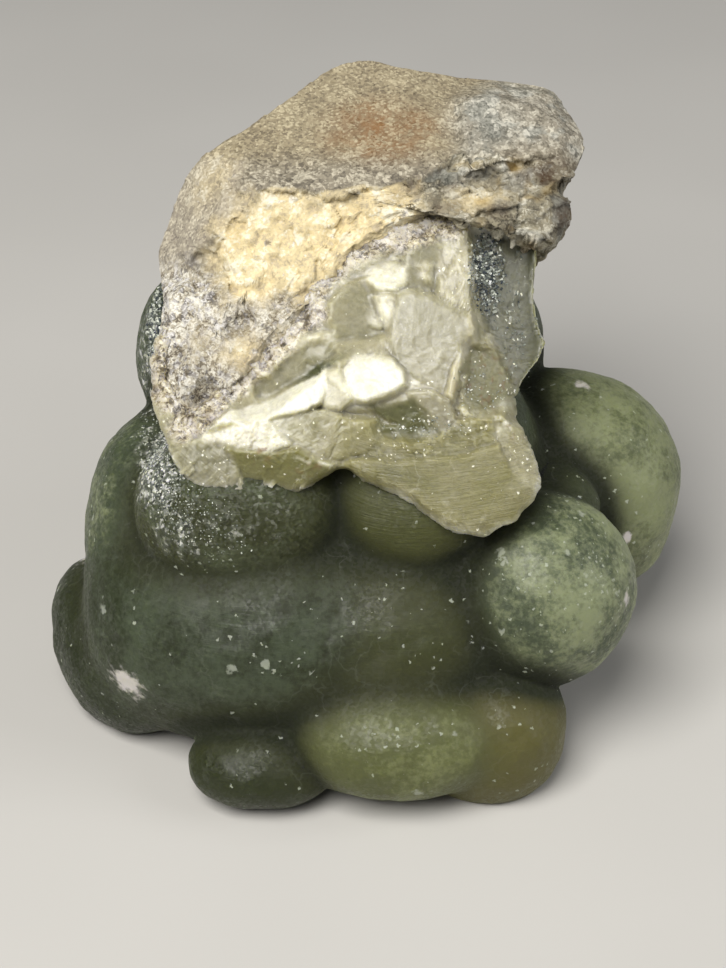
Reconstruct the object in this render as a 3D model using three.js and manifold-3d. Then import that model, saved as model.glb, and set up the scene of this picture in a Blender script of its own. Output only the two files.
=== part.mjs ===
// Raw prehnite on its host rock: a hand specimen of green botryoidal prehnite under a cap of grey and cream
// rock.
// Millimetres, +Z up, front towards -Y. The specimen stands on its broken base, whose flat lies in z = 0.
import * as THREE from "three";
import { ConvexGeometry } from "three/addons/geometries/ConvexGeometry.js";
import { mergeVertices } from "three/addons/utils/BufferGeometryUtils.js";
import Module from "manifold-3d";

const wasm = await Module();
wasm.setup();

// ---- Driving dimensions ----
const FACE_LEAN = THREE.MathUtils.degToRad(35); // the broken front face leans back by this much
const FACE_ORIGIN = new THREE.Vector3(0, 1, 20); // the point that the face's own u, v and n are measured from
const BASE_CENTRE = new THREE.Vector3(0.27, 1.35, 0); // the middle of the base before it is moved home
const SEAM = 0.3; // clearance between the prehnite and the host rock
const FACE_SHEAR = 0.15; // how much further out the face stands for each millimetre down it
const SHEAR_FREE = 30; // the v at which the shear moves nothing
const FACET = 3.1; // length of a facet's side on the rounded lobes
const CUTTER = 120; // side of the blocks that cut a face flat
const OPEN = 24; // how far out of the face a bite stays open

// The lobes of prehnite: centre and half-axes along X, Y and Z, and a turn about Z in degrees.
const LOBES = [
  { name: "belly", at: [-8.7, -6.6, 10.8], radii: [17.6, 14, 13], turn: 0 },
  { name: "waist", at: [3.4, -7.2, 10.4], radii: [13, 12.8, 11.8], turn: 0 },
  { name: "front ball", at: [16, -9.4, 15.6], radii: [9, 9, 9.2], turn: 0 },
  { name: "front ball's bud", at: [18.6, -2, 19.1], radii: [3.8, 4, 3.8], turn: 0 },
  { name: "left toe", at: [-9.2, -20, 3.8], radii: [6.8, 5.2, 4.1], turn: 0 },
  { name: "middle toe", at: [3.2, -19.4, 6.4], radii: [10.2, 6.4, 5.6], turn: 0 },
  { name: "right toe", at: [11.6, -16.2, 4.8], radii: [7, 7.4, 6.8], turn: 0 },
  { name: "left foot", at: [-23.4, -4.6, 5], radii: [6.4, 11.4, 6.8], turn: 25 },
  { name: "left shoulder", at: [-18.6, 0.9, 15.9], radii: [8, 11, 10.4], turn: 0 },
  { name: "left lip", at: [-11, -6.9, 23.5], radii: [9.9, 8.4, 7.6], turn: 0 },
  { name: "right lip", at: [4.8, -5.9, 23.3], radii: [8.8, 7.8, 7], turn: 0 },
  { name: "right wing", at: [22.4, 8.9, 14.4], radii: [9, 10, 11], turn: 0 },
  { name: "right wing's crest", at: [19.5, 9, 18.4], radii: [8.5, 9, 7.6], turn: 0 },
  { name: "left flank", at: [-14, 12, 28.2], radii: [8, 8, 9.4], turn: 0 },
  { name: "heart", at: [0, 4, 16.4], radii: [18, 16, 18.4], turn: 0 },
  { name: "back left", at: [-15, 16, 10], radii: [10, 9, 11], turn: 0 },
  { name: "back middle", at: [1, 20, 9], radii: [11, 8.5, 10.5], turn: 0 },
  { name: "back right", at: [14, 17, 9.5], radii: [9, 9, 10.5], turn: 0 },
  { name: "right heel", at: [16.5, 8, 6.2], radii: [8, 10, 7.5], turn: 0 },
  { name: "upper back left", at: [-9, 19, 26], radii: [9, 9, 9], turn: 0 },
  { name: "upper back right", at: [9, 18, 25.5], radii: [9, 9, 9], turn: 0 },
  { name: "nape", at: [0, 21, 29], radii: [9, 7.5, 7], turn: 0 },
  { name: "right flank", at: [9.4, 0.5, 24], radii: [6.6, 9, 8], turn: 0 },
];

// The broken slab of prehnite: outline in u (across) and v (up the leaning face), anticlockwise from its
// lower left.
const SLAB = {
  outline: [
    [-19, 8.4], [-17.7, 4.4], [-16.1, 0.8], [-13.7, -0.5], [-11.4, -1.3], [-9, -0.4], [-5.6, -0.7],
    [-2.2, 1.2], [0.2, 0.2], [3.3, -1], [6, -3], [8.2, -4.2], [10.6, -4.4], [13.1, -3.2], [15.1, -1.4],
    [15.6, 0.8], [14.7, 3.9], [13.7, 6.4], [14, 8.8], [15.9, 11.8], [15.8, 14], [15.4, 17], [15, 24],
    [9, 28], [-2, 27], [-10, 24], [-15, 18], [-18.5, 13],
  ],
  centre: [-1, 10],
  front: 11.8,
  rim: 8.6,
  back: -6,
  boxiness: 5,
  cells: [12, 12, 4],
};

// Crystals that stand out of the slab: the corners of the flat top, its height and its rise along u and v,
// and the root.
const CRYSTALS = [
  {
    name: "glassy face",
    top: [[3.5, 17.3], [8, 16.2], [10, 14.8], [9.9, 13.6], [7.8, 7.6], [6.4, 7], [3.2, 9.8], [2.8, 12]],
    height: [13.6, 0.06, 0.05],
    root: 8,
    flare: 1.12,
  },
  {
    name: "white block",
    top: [[-3.2, 10.4], [2.4, 10.9], [3.6, 9.4], [3.2, 8.4], [1.5, 7.4], [-1.6, 7.3], [-2.6, 8.3]],
    height: [14.6, 0.1, -0.16],
    root: 8,
    flare: 1.15,
  },
  {
    name: "roof of the white block",
    top: [[-2, 12.4], [0.2, 13.2], [2, 12.4], [3.2, 10.6], [-2.4, 10.6]],
    height: [13.4, 0, -0.3],
    root: 8,
    flare: 1.2,
  },
  {
    name: "pale ridge",
    top: [[-12.6, 6.4], [-9.4, 7], [-3.6, 9.7], [-3.4, 8], [-6.4, 6.4], [-8.2, 5.2], [-12, 4.8]],
    height: [13.8, 0.05, -0.2],
    root: 8,
    flare: 1.15,
  },
  {
    name: "dark crystal",
    top: [[-2.9, 16], [-0.3, 18.2], [1.4, 16.4], [1.9, 13], [0.6, 12], [-2, 12.8], [-2.5, 14.2]],
    height: [12.3, -0.12, 0.05],
    root: 7,
    flare: 1.1,
  },
  {
    name: "white shard",
    top: [[0, 19.6], [2.4, 20], [3, 17], [1.4, 16.6], [0.2, 17.4]],
    height: [13.2, 0.1, 0.1],
    root: 7,
    flare: 1.2,
  },
  {
    name: "white streak",
    top: [[1.2, 16.6], [3.2, 16.8], [3.7, 12.6], [2.6, 11.8]],
    height: [13.2, 0.1, 0],
    root: 7,
    flare: 1.2,
  },
  {
    name: "upper crystal",
    top: [[3.4, 20.6], [4.4, 22.2], [8, 22.4], [9.2, 20.2], [9, 16.6], [6, 17.2], [3.6, 18]],
    height: [12.4, -0.05, -0.1],
    root: 6,
    flare: 1.1,
  },
  {
    name: "lower left face",
    top: [[-8.8, 6.2], [-3.4, 7], [-1.2, 6.2], [-2.6, 5], [-5.6, 3.8], [-7.4, 4.6]],
    height: [13.2, 0.05, 0.25],
    root: 8,
    flare: 1.15,
  },
  {
    name: "lower middle face",
    top: [[-0.8, 6.4], [3.3, 6.9], [6, 5.2], [3.4, 3.8], [0.6, 3.8], [-1.6, 5.2]],
    height: [12.8, 0.02, 0.2],
    root: 8,
    flare: 1.15,
  },
  {
    name: "right strip",
    top: [[11.2, 6.4], [13.2, 6.9], [14.6, 3.8], [13.8, 0.4], [12, 1.6]],
    height: [12.2, 0.15, 0],
    root: 6,
    flare: 1.15,
  },
  {
    name: "left skirt",
    top: [[-16.4, 3.6], [-14.2, 0], [-11.4, -0.9], [-10, 0.4], [-10.6, 3.6], [-13.6, 5.2]],
    height: [12.2, 0.08, 0.1],
    root: 8,
    flare: 1.06,
  },
  {
    name: "middle skirt",
    top: [[-10.2, 2.6], [-8.6, 0.4], [-5.4, 0.2], [-2.2, 1.6], [-3.4, 3.6], [-8, 4.4]],
    height: [12.8, 0.05, 0.2],
    root: 8,
    flare: 1.06,
  },
  {
    name: "fibrous skirt",
    top: [[-1, 2], [3.6, 0], [7.6, -3.2], [10.4, -3.6], [13.4, -2.2], [14.2, 1], [10.4, 3.6], [5, 3.6]],
    height: [13.2, 0.03, -0.1],
    root: 8,
    flare: 1.05,
  },
];

// Hollows broken into the slab: the corners of the flat floor, its height and its rise along u and v, and the
// mouth's flare.
const SLAB_HOLLOWS = [
  {
    name: "hollow above the ridge",
    floor: [[-11.6, 9.2], [-6.6, 8.4], [-3, 10.8], [-2.2, 12], [-4, 12.2], [-8.6, 10.6]],
    height: [9.4, 0.05, 0.1],
    flare: 1.15,
  },
  {
    name: "green recess",
    floor: [[0.6, 6.4], [4.6, 6.6], [4.4, 5.4], [1, 5.2]],
    height: [11, 0, 0],
    flare: 1.2,
  },
  {
    name: "side of the glassy face",
    floor: [[9.6, 22.6], [11.2, 12], [9.4, 7.6], [12, 6.6], [20, 8], [20, 22]],
    height: [7.8, -0.5, 0],
    flare: 1.02,
  },
];

// The host rock: outline in u and v, anticlockwise from its lower left.
const ROCK = {
  outline: [
    [-18.9, 9], [-15.8, 4.9], [-13, 6.5], [-10, 10], [-6.5, 12.5], [-4.5, 16], [-1.5, 19.5], [3, 22],
    [9, 23.6], [13.5, 22.4], [16.9, 21.4], [18.8, 23.7], [19.1, 25.3], [18.2, 26.7], [19.4, 28.6],
    [20.4, 31.4], [19.2, 34.8], [16.9, 37.4], [9.8, 38.2], [3.4, 39], [0.4, 39.8], [-3, 38.9],
    [-6.7, 35.8], [-10.4, 32.9], [-14.5, 30.1], [-16.8, 27], [-18.1, 23.3], [-18.8, 20.7], [-18.1, 16.9],
    [-18.3, 13.2],
  ],
  centre: [-2, 26],
  front: 14,
  rim: 5,
  back: -9,
  boxiness: 3.4,
  cells: [14, 14, 5],
};

// Flat breaks across the host rock: a point on each and the way it faces, both in u, v and n.
const BREAKS = [
  { name: "weathered top", at: [-2, 27, 13.2], facing: [-0.04, 0.58, 0.8] },
  { name: "rusty hump", at: [6, 33, 9.2], facing: [0.22, 0.62, 0.74] },
  { name: "left slope", at: [-12, 29, 11], facing: [-0.4, 0.55, 0.7] },
  { name: "left face", at: [-15.5, 22, 9.6], facing: [-0.75, 0.1, 0.62] },
  { name: "back slope", at: [0, 36, -3], facing: [0, 0.75, -0.65] },
];

// Ledges of the host rock, laid out as the crystals are.
const LEDGES = [
  {
    name: "long ledge",
    top: [[2.6, 26.2], [9.4, 28.2], [18, 28], [17.6, 26.6], [9.6, 26], [3, 24.4]],
    height: [12.6, -0.14, -0.3],
    root: 0,
    flare: 1.05,
  },
  {
    name: "middle ledge",
    top: [[3.4, 24.6], [9, 26.2], [17.4, 26], [16.8, 24.8], [9, 24.6], [3.6, 23]],
    height: [12.2, -0.16, -0.3],
    root: 0,
    flare: 1.05,
  },
  {
    name: "bottom ledge",
    top: [[2.2, 23], [9, 24.8], [13, 24.4], [12.8, 23.4], [8, 23.2], [2.6, 21.4]],
    height: [12, -0.12, -0.3],
    root: 0,
    flare: 1.05,
  },
  {
    name: "nose",
    top: [[9, 34.6], [12, 35.8], [16, 34.8], [18.4, 32], [17.8, 29.4], [12, 28.8], [9.4, 31]],
    height: [9.3, -0.12, -0.55],
    root: -6,
    flare: 1.12,
  },
  {
    name: "left plate",
    top: [[-17.2, 17], [-17.4, 10], [-15.8, 6.4], [-13.4, 7.4], [-8, 12.6], [-7.4, 18], [-12, 20]],
    height: [10.8, 0.12, 0.1],
    root: 2,
    flare: 1.05,
  },
];

// Bites out of the host rock, laid out as the slab's hollows are.
const BITES = [
  {
    name: "cream face",
    floor: [
      [-9, 26], [-1.8, 25.4], [3.2, 27], [4.6, 24.2], [2.4, 21.4], [-3, 17], [-8, 15.6], [-12, 17.4],
      [-12.6, 22],
    ],
    height: [12, 0.04, 0.04],
    flare: 1.03,
  },
  {
    name: "upper pit",
    floor: [[-15.6, 19.6], [-14.8, 20.6], [-13.4, 20], [-13.2, 18.6], [-14.8, 18]],
    height: [9.8, 0.1, 0],
    flare: 1.6,
  },
  {
    name: "side pit",
    floor: [[-11.8, 14], [-11, 15], [-10, 14.2], [-10.6, 12.6], [-11.6, 12.8]],
    height: [11, 0.1, 0],
    flare: 1.6,
  },
  {
    name: "lower pit",
    floor: [[-14.8, 7], [-14, 8.2], [-12.8, 7.4], [-12.8, 6], [-14.2, 5.8]],
    height: [9.6, 0.1, 0],
    flare: 1.6,
  },
];

const PREHNITE = new THREE.MeshStandardMaterial({ color: 0x74805c, roughness: 0.35, metalness: 0 });
const HOST_ROCK = new THREE.MeshStandardMaterial({ color: 0xb8ab8c, roughness: 0.85, metalness: 0 });

// The leaning face's frame: u across, v up the face, n out of it.
const faceFrame = new THREE.Matrix4()
  .makeRotationX(Math.PI / 2 - FACE_LEAN)
  .setPosition(FACE_ORIGIN)
  .multiply(
    new THREE.Matrix4().set(1, 0, 0, 0, 0, 1, 0, 0, 0, -FACE_SHEAR, 1, FACE_SHEAR * SHEAR_FREE, 0, 0, 0, 1),
  );

// A closed geometry as one with only shared positions.
function bareOf(geometry) {
  const bare = geometry.clone();
  bare.deleteAttribute("normal");
  bare.deleteAttribute("uv");
  return mergeVertices(bare, 1e-4);
}

// A closed geometry as a solid that can be joined and cut.
function solidOf(geometry) {
  const bare = bareOf(geometry);
  return new wasm.Manifold(
    new wasm.Mesh({
      numProp: 3,
      vertProperties: bare.attributes.position.array,
      triVerts: new Uint32Array(bare.index.array),
    }),
  );
}

// A joined or cut solid as a named mesh.
function meshOf(solid, name, material) {
  const made = solid.getMesh();
  const geometry = new THREE.BufferGeometry();
  geometry.setAttribute("position", new THREE.BufferAttribute(made.vertProperties, 3));
  geometry.setIndex(new THREE.BufferAttribute(made.triVerts, 1));
  geometry.translate(-BASE_CENTRE.x, -BASE_CENTRE.y, -BASE_CENTRE.z);
  geometry.computeVertexNormals();
  const mesh = new THREE.Mesh(geometry, material);
  mesh.name = name;
  return mesh;
}

// One rounded lobe: a ball of even facets, stretched to its half-axes and turned about Z.
function lobe({ at, radii, turn }) {
  const detail = Math.ceil((1.05 * Math.max(...radii)) / FACET) - 1;
  const ball = new THREE.IcosahedronGeometry(1, detail);
  ball.scale(...radii);
  ball.rotateZ(THREE.MathUtils.degToRad(turn));
  ball.translate(...at);
  return solidOf(ball);
}

// A rounded block with a drawn outline: a gridded box whose sides follow the outline and whose front and back
// bulge from its rim. grow moves the whole skin outwards.
function block({ outline, centre, front, rim, back, boxiness, cells }, grow = 0) {
  const curve = new THREE.CatmullRomCurve3(
    outline.map(([u, v]) => new THREE.Vector3(u, v, 0)),
    true,
    "catmullrom",
    0.5,
  );
  const middle = new THREE.Vector3(...centre, 0);
  const box = bareOf(new THREE.BoxGeometry(2, 2, 2, ...cells));
  const position = box.getAttribute("position");
  const cube = new THREE.Vector3();
  for (let i = 0; i < position.count; i += 1) {
    cube.fromBufferAttribute(position, i);
    const square = Math.max(Math.abs(cube.x), Math.abs(cube.y));
    const round = (square ** boxiness + Math.abs(cube.z) ** boxiness) ** (1 / boxiness);
    const spoke = curve.getPoint(turnAround(cube.x, cube.y)).sub(middle).multiplyScalar(square / round);
    const reach = cube.z > 0 ? front - rim : rim - back;
    position.setXYZ(i, middle.x + spoke.x, middle.y + spoke.y, rim + (reach * cube.z) / round);
  }
  box.computeVertexNormals();
  const normal = box.getAttribute("normal");
  for (let i = 0; i < position.count; i += 1) {
    position.setXYZ(
      i,
      position.getX(i) + grow * normal.getX(i),
      position.getY(i) + grow * normal.getY(i),
      position.getZ(i) + grow * normal.getZ(i),
    );
  }
  return solidOf(box.applyMatrix4(faceFrame));
}

// How far round a square a point lies, from 0 to 1, starting at the lower left corner and going
// anticlockwise.
function turnAround(x, y) {
  const square = Math.max(Math.abs(x), Math.abs(y));
  if (square === 0) {
    return 0;
  }
  const a = x / square;
  const b = y / square;
  if (b === -1) {
    return (a + 1) / 8;
  }
  if (a === 1) {
    return (b + 3) / 8;
  }
  if (b === 1) {
    return (5 - a) / 8;
  }
  return ((7 - b) / 8) % 1;
}

// A crystal or a ledge: a flat top with drawn corners, on a root that is flared from it. grow moves its faces
// outwards.
function chunk({ top, height, root, flare }, grow = 0) {
  const [cu, cv] = middleOf(top);
  const [rise, alongU, alongV] = height;
  const points = top.flatMap(([u, v]) => {
    const du = u - cu;
    const dv = v - cv;
    const stretch = 1 + grow / Math.hypot(du, dv);
    const depth = rise + alongU * du + alongV * dv + grow;
    return [
      new THREE.Vector3(cu + du * stretch, cv + dv * stretch, depth),
      new THREE.Vector3(cu + du * stretch * flare, cv + dv * stretch * flare, root - grow),
    ];
  });
  return solidOf(new ConvexGeometry(points).applyMatrix4(faceFrame));
}

// The room of a hollow: from its flat floor out of the face, with a wider mouth.
function hollow({ floor, height, flare }) {
  const [cu, cv] = middleOf(floor);
  const [rise, alongU, alongV] = height;
  const points = floor.flatMap(([u, v]) => {
    const du = u - cu;
    const dv = v - cv;
    return [
      new THREE.Vector3(u, v, rise + alongU * du + alongV * dv),
      new THREE.Vector3(cu + du * flare, cv + dv * flare, OPEN),
    ];
  });
  return solidOf(new ConvexGeometry(points).applyMatrix4(faceFrame));
}

// The mean of some corners.
function middleOf(corners) {
  const sum = corners.reduce(([su, sv], [u, v]) => [su + u, sv + v], [0, 0]);
  return [sum[0] / corners.length, sum[1] / corners.length];
}

// A block that cuts away all that lies beyond a flat break.
function beyond({ at, facing }) {
  const outwards = new THREE.Vector3(...facing).normalize();
  const turn = new THREE.Quaternion().setFromUnitVectors(new THREE.Vector3(0, 0, 1), outwards);
  const cutter = new THREE.BoxGeometry(CUTTER, CUTTER, CUTTER).translate(0, 0, CUTTER / 2);
  cutter.applyQuaternion(turn);
  cutter.translate(...at);
  return solidOf(cutter.applyMatrix4(faceFrame));
}

// The same solid moved out of the face.
function movedOut(solid, distance) {
  const step = new THREE.Vector3(0, 0, distance).transformDirection(faceFrame).setLength(distance);
  return solid.translate(step.toArray());
}

const join = (solids) => solids.reduce((joined, next) => joined.add(next));
const cut = (solid, cutters) => cutters.reduce((left, cutter) => left.subtract(cutter), solid);

const ground = solidOf(new THREE.BoxGeometry(CUTTER, CUTTER, CUTTER).translate(0, 0, -CUTTER / 2));

const rockRoom = join([block(ROCK, SEAM), ...LEDGES.map((ledge) => chunk(ledge, SEAM))]);
const openRoom = join([0, 4].map((distance) => movedOut(rockRoom, distance)));
const rawRock = join([cut(block(ROCK), BREAKS.map(beyond)), ...LEDGES.map((ledge) => chunk(ledge))]);
const hostRock = cut(rawRock, BITES.map(hollow));

const slab = cut(join([block(SLAB), ...CRYSTALS.map((crystal) => chunk(crystal))]), SLAB_HOLLOWS.map(hollow));
const prehnite = join([slab, ...LOBES.map(lobe)]).subtract(openRoom).subtract(ground);

const specimen = new THREE.Group();
specimen.add(meshOf(prehnite, "prehnite", PREHNITE));
specimen.add(meshOf(hostRock, "host_rock", HOST_ROCK));

export default specimen;
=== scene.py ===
"""Raw prehnite hand specimen: green grape-like lobes, a broken crystalline face and a cap of host rock.

All shapes are worked out in millimetres and written in metres. The broken face has a frame of its own:
u runs across it, v runs up it and n stands out of it.
"""

import logging
import math
from dataclasses import dataclass
from enum import Enum
from typing import Union

import bpy
import numpy as np
from mathutils import Matrix, Vector


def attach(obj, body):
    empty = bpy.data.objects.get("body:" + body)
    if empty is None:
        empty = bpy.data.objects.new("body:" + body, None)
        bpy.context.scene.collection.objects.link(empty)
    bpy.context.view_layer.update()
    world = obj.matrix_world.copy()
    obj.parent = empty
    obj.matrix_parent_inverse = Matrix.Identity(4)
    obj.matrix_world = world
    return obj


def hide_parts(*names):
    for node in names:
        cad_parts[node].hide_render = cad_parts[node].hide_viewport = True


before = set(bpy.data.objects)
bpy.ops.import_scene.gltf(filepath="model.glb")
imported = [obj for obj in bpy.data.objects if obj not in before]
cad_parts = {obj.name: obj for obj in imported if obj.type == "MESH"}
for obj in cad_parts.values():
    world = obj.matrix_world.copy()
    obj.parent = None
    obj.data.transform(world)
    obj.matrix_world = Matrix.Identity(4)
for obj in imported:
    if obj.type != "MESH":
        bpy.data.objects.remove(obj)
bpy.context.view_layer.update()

LOG = logging.getLogger("prehnite")

MM = 0.001
FACE_LEAN = math.radians(35)
FACE_Y = 1.0
FACE_Z = 20.0
FACE_SHEAR = 0.15
SHEAR_FREE = 30.0
BASE_CENTRE = np.array([0.27, 1.35, 0.0])

LAMP_TARGET = Vector((0, 0, 0.028))
WHITE = 0xFFFFFF
BARE_LOOKS = {"milk": 0.25, "olive": 0.35, "deep": 0.0, "grey": 0.1, "fleck": 0.12}

WORD = np.uint64(0xFFFFFFFF)
CELL_PRIMES = (0x8DA6B343, 0xD8163841, 0xCB1AB31F)
SEED_PRIME = 0x9E3779B1

Array = np.ndarray
Tree = bpy.types.NodeTree
Piece = bpy.types.Object
Pair = tuple[Array, Array]
Marks = dict[str, Array]
Triple = tuple[float, float, float]
Corners = tuple[tuple[float, float], ...]
Tones = tuple[int, int, int]


# ---- The broken face's frame


def from_face(u: Array, v: Array, n: Array) -> Array:
    """Places face coordinates in the part's frame.

    The face leans back by FACE_LEAN, and its lower edge stands further out by FACE_SHEAR for each millimetre
    down.

    Args:
        u: Across the face.
        v: Up the face.
        n: Out of the face.

    Returns:
        Points, one row each.
    """
    out = n + FACE_SHEAR * (SHEAR_FREE - v)
    y = FACE_Y + math.sin(FACE_LEAN) * v - math.cos(FACE_LEAN) * out
    z = FACE_Z + math.cos(FACE_LEAN) * v + math.sin(FACE_LEAN) * out
    return np.stack([u, y, z], axis=-1)


def to_face(points: Array) -> tuple[Array, Array, Array]:
    """Gives points of the part's frame in face coordinates.

    Args:
        points: Points, one row each.

    Returns:
        u, v and n.
    """
    y = points[:, 1] - FACE_Y
    z = points[:, 2] - FACE_Z
    v = math.sin(FACE_LEAN) * y + math.cos(FACE_LEAN) * z
    out = math.sin(FACE_LEAN) * z - math.cos(FACE_LEAN) * y
    return points[:, 0], v, out - FACE_SHEAR * (SHEAR_FREE - v)


# ---- Noise, as whole arrays


def scatter(cell: Array, seed: int) -> Array:
    """Gives each whole-numbered cell its own even random number from 0 to 1, by mixing its three numbers'
    bits.

    Args:
        cell: Cells, with three whole numbers each.
        seed: Which set of random numbers.

    Returns:
        One number per cell.
    """
    parts = (cell[..., k].astype(np.int64).astype(np.uint64) & WORD for k in range(3))
    ix, iy, iz = (part * np.uint64(prime) for part, prime in zip(parts, CELL_PRIMES))
    mixed = ((ix ^ iy ^ iz) + np.uint64(seed * SEED_PRIME)) & WORD
    for shift, prime in ((15, 0x85EBCA6B), (13, 0xC2B2AE35)):
        mixed = ((mixed ^ (mixed >> np.uint64(shift))) * np.uint64(prime)) & WORD
    mixed = mixed ^ (mixed >> np.uint64(16))
    return mixed.astype(np.float64) / 2.0**32


def ripple(points: Array, size: float, seed: int) -> Array:
    """Smooth noise from -1 to 1.

    Each lattice corner has a random value, and the eight around a point are blended with a fade of
    t*t*(3 - 2*t) along each axis.

    Args:
        points: Points, one row each.
        size: The width of a lattice cell, in millimetres.
        seed: Which noise.

    Returns:
        One value per point.
    """
    scaled = points / size + seed * 17.31
    low = np.floor(scaled)
    t = scaled - low
    fade = t * t * (3 - 2 * t)
    total = np.zeros(len(points))
    for corner in np.ndindex(2, 2, 2):
        step = np.array(corner)
        weight = np.prod(np.where(step == 1, fade, 1 - fade), axis=-1)
        total += weight * scatter(low + step, seed)
    return 2 * total - 1


def swell(points: Array, size: float, octaves: int, seed: int) -> Array:
    """Sum of ripples, each half as wide and half as strong as the last, kept near -1 to 1.

    Args:
        points: Points, one row each.
        size: The width of the largest ripple's cell, in millimetres.
        octaves: How many ripples are summed.
        seed: Which noise.

    Returns:
        One value per point.
    """
    total = np.zeros(len(points))
    reach = 0.0
    for k in range(octaves):
        total += 0.5**k * ripple(points, size / 2**k, seed + k)
        reach += 0.5**k
    return total / reach


def shatter(points: Array, size: float, seed: int) -> tuple[Array, Array, Array]:
    """Breaks space into random cells, as a fractured crystal does.

    Each lattice cell holds one random centre. A point belongs to its nearest centre.

    Args:
        points: Points, one row each.
        size: The width of a cell, in millimetres.
        seed: Which set of cells.

    Returns:
        A tilted height, whose slope and offset are random and the same all over a cell, from about -1 to 1;
        the distance to the cell's border, in cells; and the cell's own random number.
    """
    scaled = points / size + seed * 9.77
    low = np.floor(scaled)
    first = np.full(len(points), 9.0)
    second = np.full(len(points), 9.0)
    owner = np.zeros_like(low)
    offset = np.zeros_like(low)
    for corner in np.ndindex(3, 3, 3):
        cell = low + np.array(corner) - 1
        centre = cell + np.stack([scatter(cell, seed + k) for k in range(3)], axis=-1)
        away = scaled - centre
        distance = np.linalg.norm(away, axis=-1)
        nearer = distance < first
        second = np.where(nearer, first, np.minimum(second, distance))
        owner = np.where(nearer[:, None], cell, owner)
        offset = np.where(nearer[:, None], away, offset)
        first = np.minimum(first, distance)
    slope = np.stack([scatter(owner, seed + 11 + k) for k in range(3)], axis=-1) - 0.5
    tone = scatter(owner, seed + 21)
    return (slope * offset).sum(axis=-1) * 1.6 + (tone - 0.5), second - first, tone


def smooth_step(value: Array, low: float, high: float) -> Array:
    """Rises smoothly from 0 at low to 1 at high."""
    t = np.clip((value - low) / (high - low), 0, 1)
    return t * t * (3 - 2 * t)


def inside(u: Array, v: Array, corners: Corners) -> Array:
    """Distance into a drawn shape, in millimetres: above 0 inside it and below 0 outside it.

    The distance is the least one to any side, and its sign comes from counting the sides that a ray to the
    right crosses.

    Args:
        u: Across the face.
        v: Up the face.
        corners: The shape's corners in order.

    Returns:
        One distance per place.
    """
    ring = np.array(corners, dtype=float)
    ends = np.roll(ring, -1, axis=0)
    best = np.full(u.shape, 1e9)
    odd = np.zeros(u.shape, dtype=bool)
    for (au, av), (bu, bv) in zip(ring, ends):
        du, dv = bu - au, bv - av
        t = np.clip(((u - au) * du + (v - av) * dv) / (du * du + dv * dv), 0, 1)
        best = np.minimum(best, np.hypot(u - au - t * du, v - av - t * dv))
        crosses = ((av > v) != (bv > v)) & (u < au + (v - av) * du / np.where(dv == 0, 1e-9, dv))
        odd ^= crosses
    return np.where(odd, best, -best)


def laid_flat(u: Array, v: Array) -> Array:
    """Places on the face as points with a height of 0."""
    return np.stack([u, v, np.zeros_like(u)], axis=-1)


def wander(
    u: Array, v: Array, reach: float, size: float, octaves: int, seeds: tuple[int, int]
) -> Pair:
    """Moves places by noise, so that drawn borders run raggedly.

    Args:
        u: Across the face.
        v: Up the face.
        reach: How far they move, in millimetres.
        size: The width of the largest waves, in millimetres.
        octaves: How many sizes of wave there are.
        seeds: Which noise moves them each way.

    Returns:
        The moved u and v.
    """
    flat = laid_flat(u, v)
    return u + reach * swell(flat, size, octaves, seeds[0]), v + reach * swell(flat, size, octaves, seeds[1])


# ---- Gridded surfaces


def gridded_box(cells: tuple[int, int, int]) -> Pair:
    """A closed box from -1 to 1 each way, whose six sides are grids that share their edges.

    Args:
        cells: How many cells lie along each axis.

    Returns:
        The points, and the four corners of each face in outward order.
    """
    nu, nv, nd = cells
    stride = np.array([1, nu + 1, (nu + 1) * (nv + 1)])
    sides = (
        (nu, nv, lambda a, b: (a, b, np.full_like(a, nd))),
        (nv, nu, lambda a, b: (b, a, np.zeros_like(a))),
        (nv, nd, lambda a, b: (np.full_like(a, nu), a, b)),
        (nd, nv, lambda a, b: (np.zeros_like(a), b, a)),
        (nd, nu, lambda a, b: (b, np.full_like(a, nv), a)),
        (nu, nd, lambda a, b: (a, np.zeros_like(a), b)),
    )
    faces = []
    for across, along, place in sides:
        a, b = np.meshgrid(np.arange(across), np.arange(along), indexing="ij")
        rings = [place(a + i, b + j) for i, j in ((0, 0), (1, 0), (1, 1), (0, 1))]
        faces.append(np.stack([np.stack(ring, axis=-1) @ stride for ring in rings], axis=-1).reshape(-1, 4))
    keys, quads = np.unique(np.concatenate(faces), return_inverse=True)
    k, rest = np.divmod(keys, stride[2])
    j, i = np.divmod(rest, stride[1])
    points = np.stack([2 * i / nu - 1, 2 * j / nv - 1, 2 * k / nd - 1], axis=-1)
    return points, quads.reshape(-1, 4)


def turn_around(x: Array, y: Array) -> Array:
    """How far round a square a point lies, from 0 to 1, from the lower left corner anticlockwise.

    Args:
        x: Across the square.
        y: Up the square.

    Returns:
        One turn per point.
    """
    square = np.maximum(np.maximum(np.abs(x), np.abs(y)), 1e-12)
    a, b = x / square, y / square
    turn = np.where(a >= 1, (b + 3) / 8, np.where(b >= 1, (5 - a) / 8, (7 - b) / 8))
    return np.where(b <= -1, (a + 1) / 8, turn) % 1.0


def curve_round(corners: Corners, turn: Array) -> Array:
    """A closed Catmull-Rom curve through corners.

    Args:
        corners: The corners in order.
        turn: How far round the curve each point lies, from 0 to 1.

    Returns:
        The points, one row each.
    """
    ring = np.array(corners, dtype=float)
    count = len(ring)
    place = turn * count
    first = np.floor(place).astype(int)
    t = (place - first)[:, None]
    a, b, c, d = (ring[(first + k) % count] for k in (-1, 0, 1, 2))
    return 0.5 * (2 * b + (c - a) * t + (2 * a - 5 * b + 4 * c - d) * t**2 + (3 * b - a - 3 * c + d) * t**3)


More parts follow.
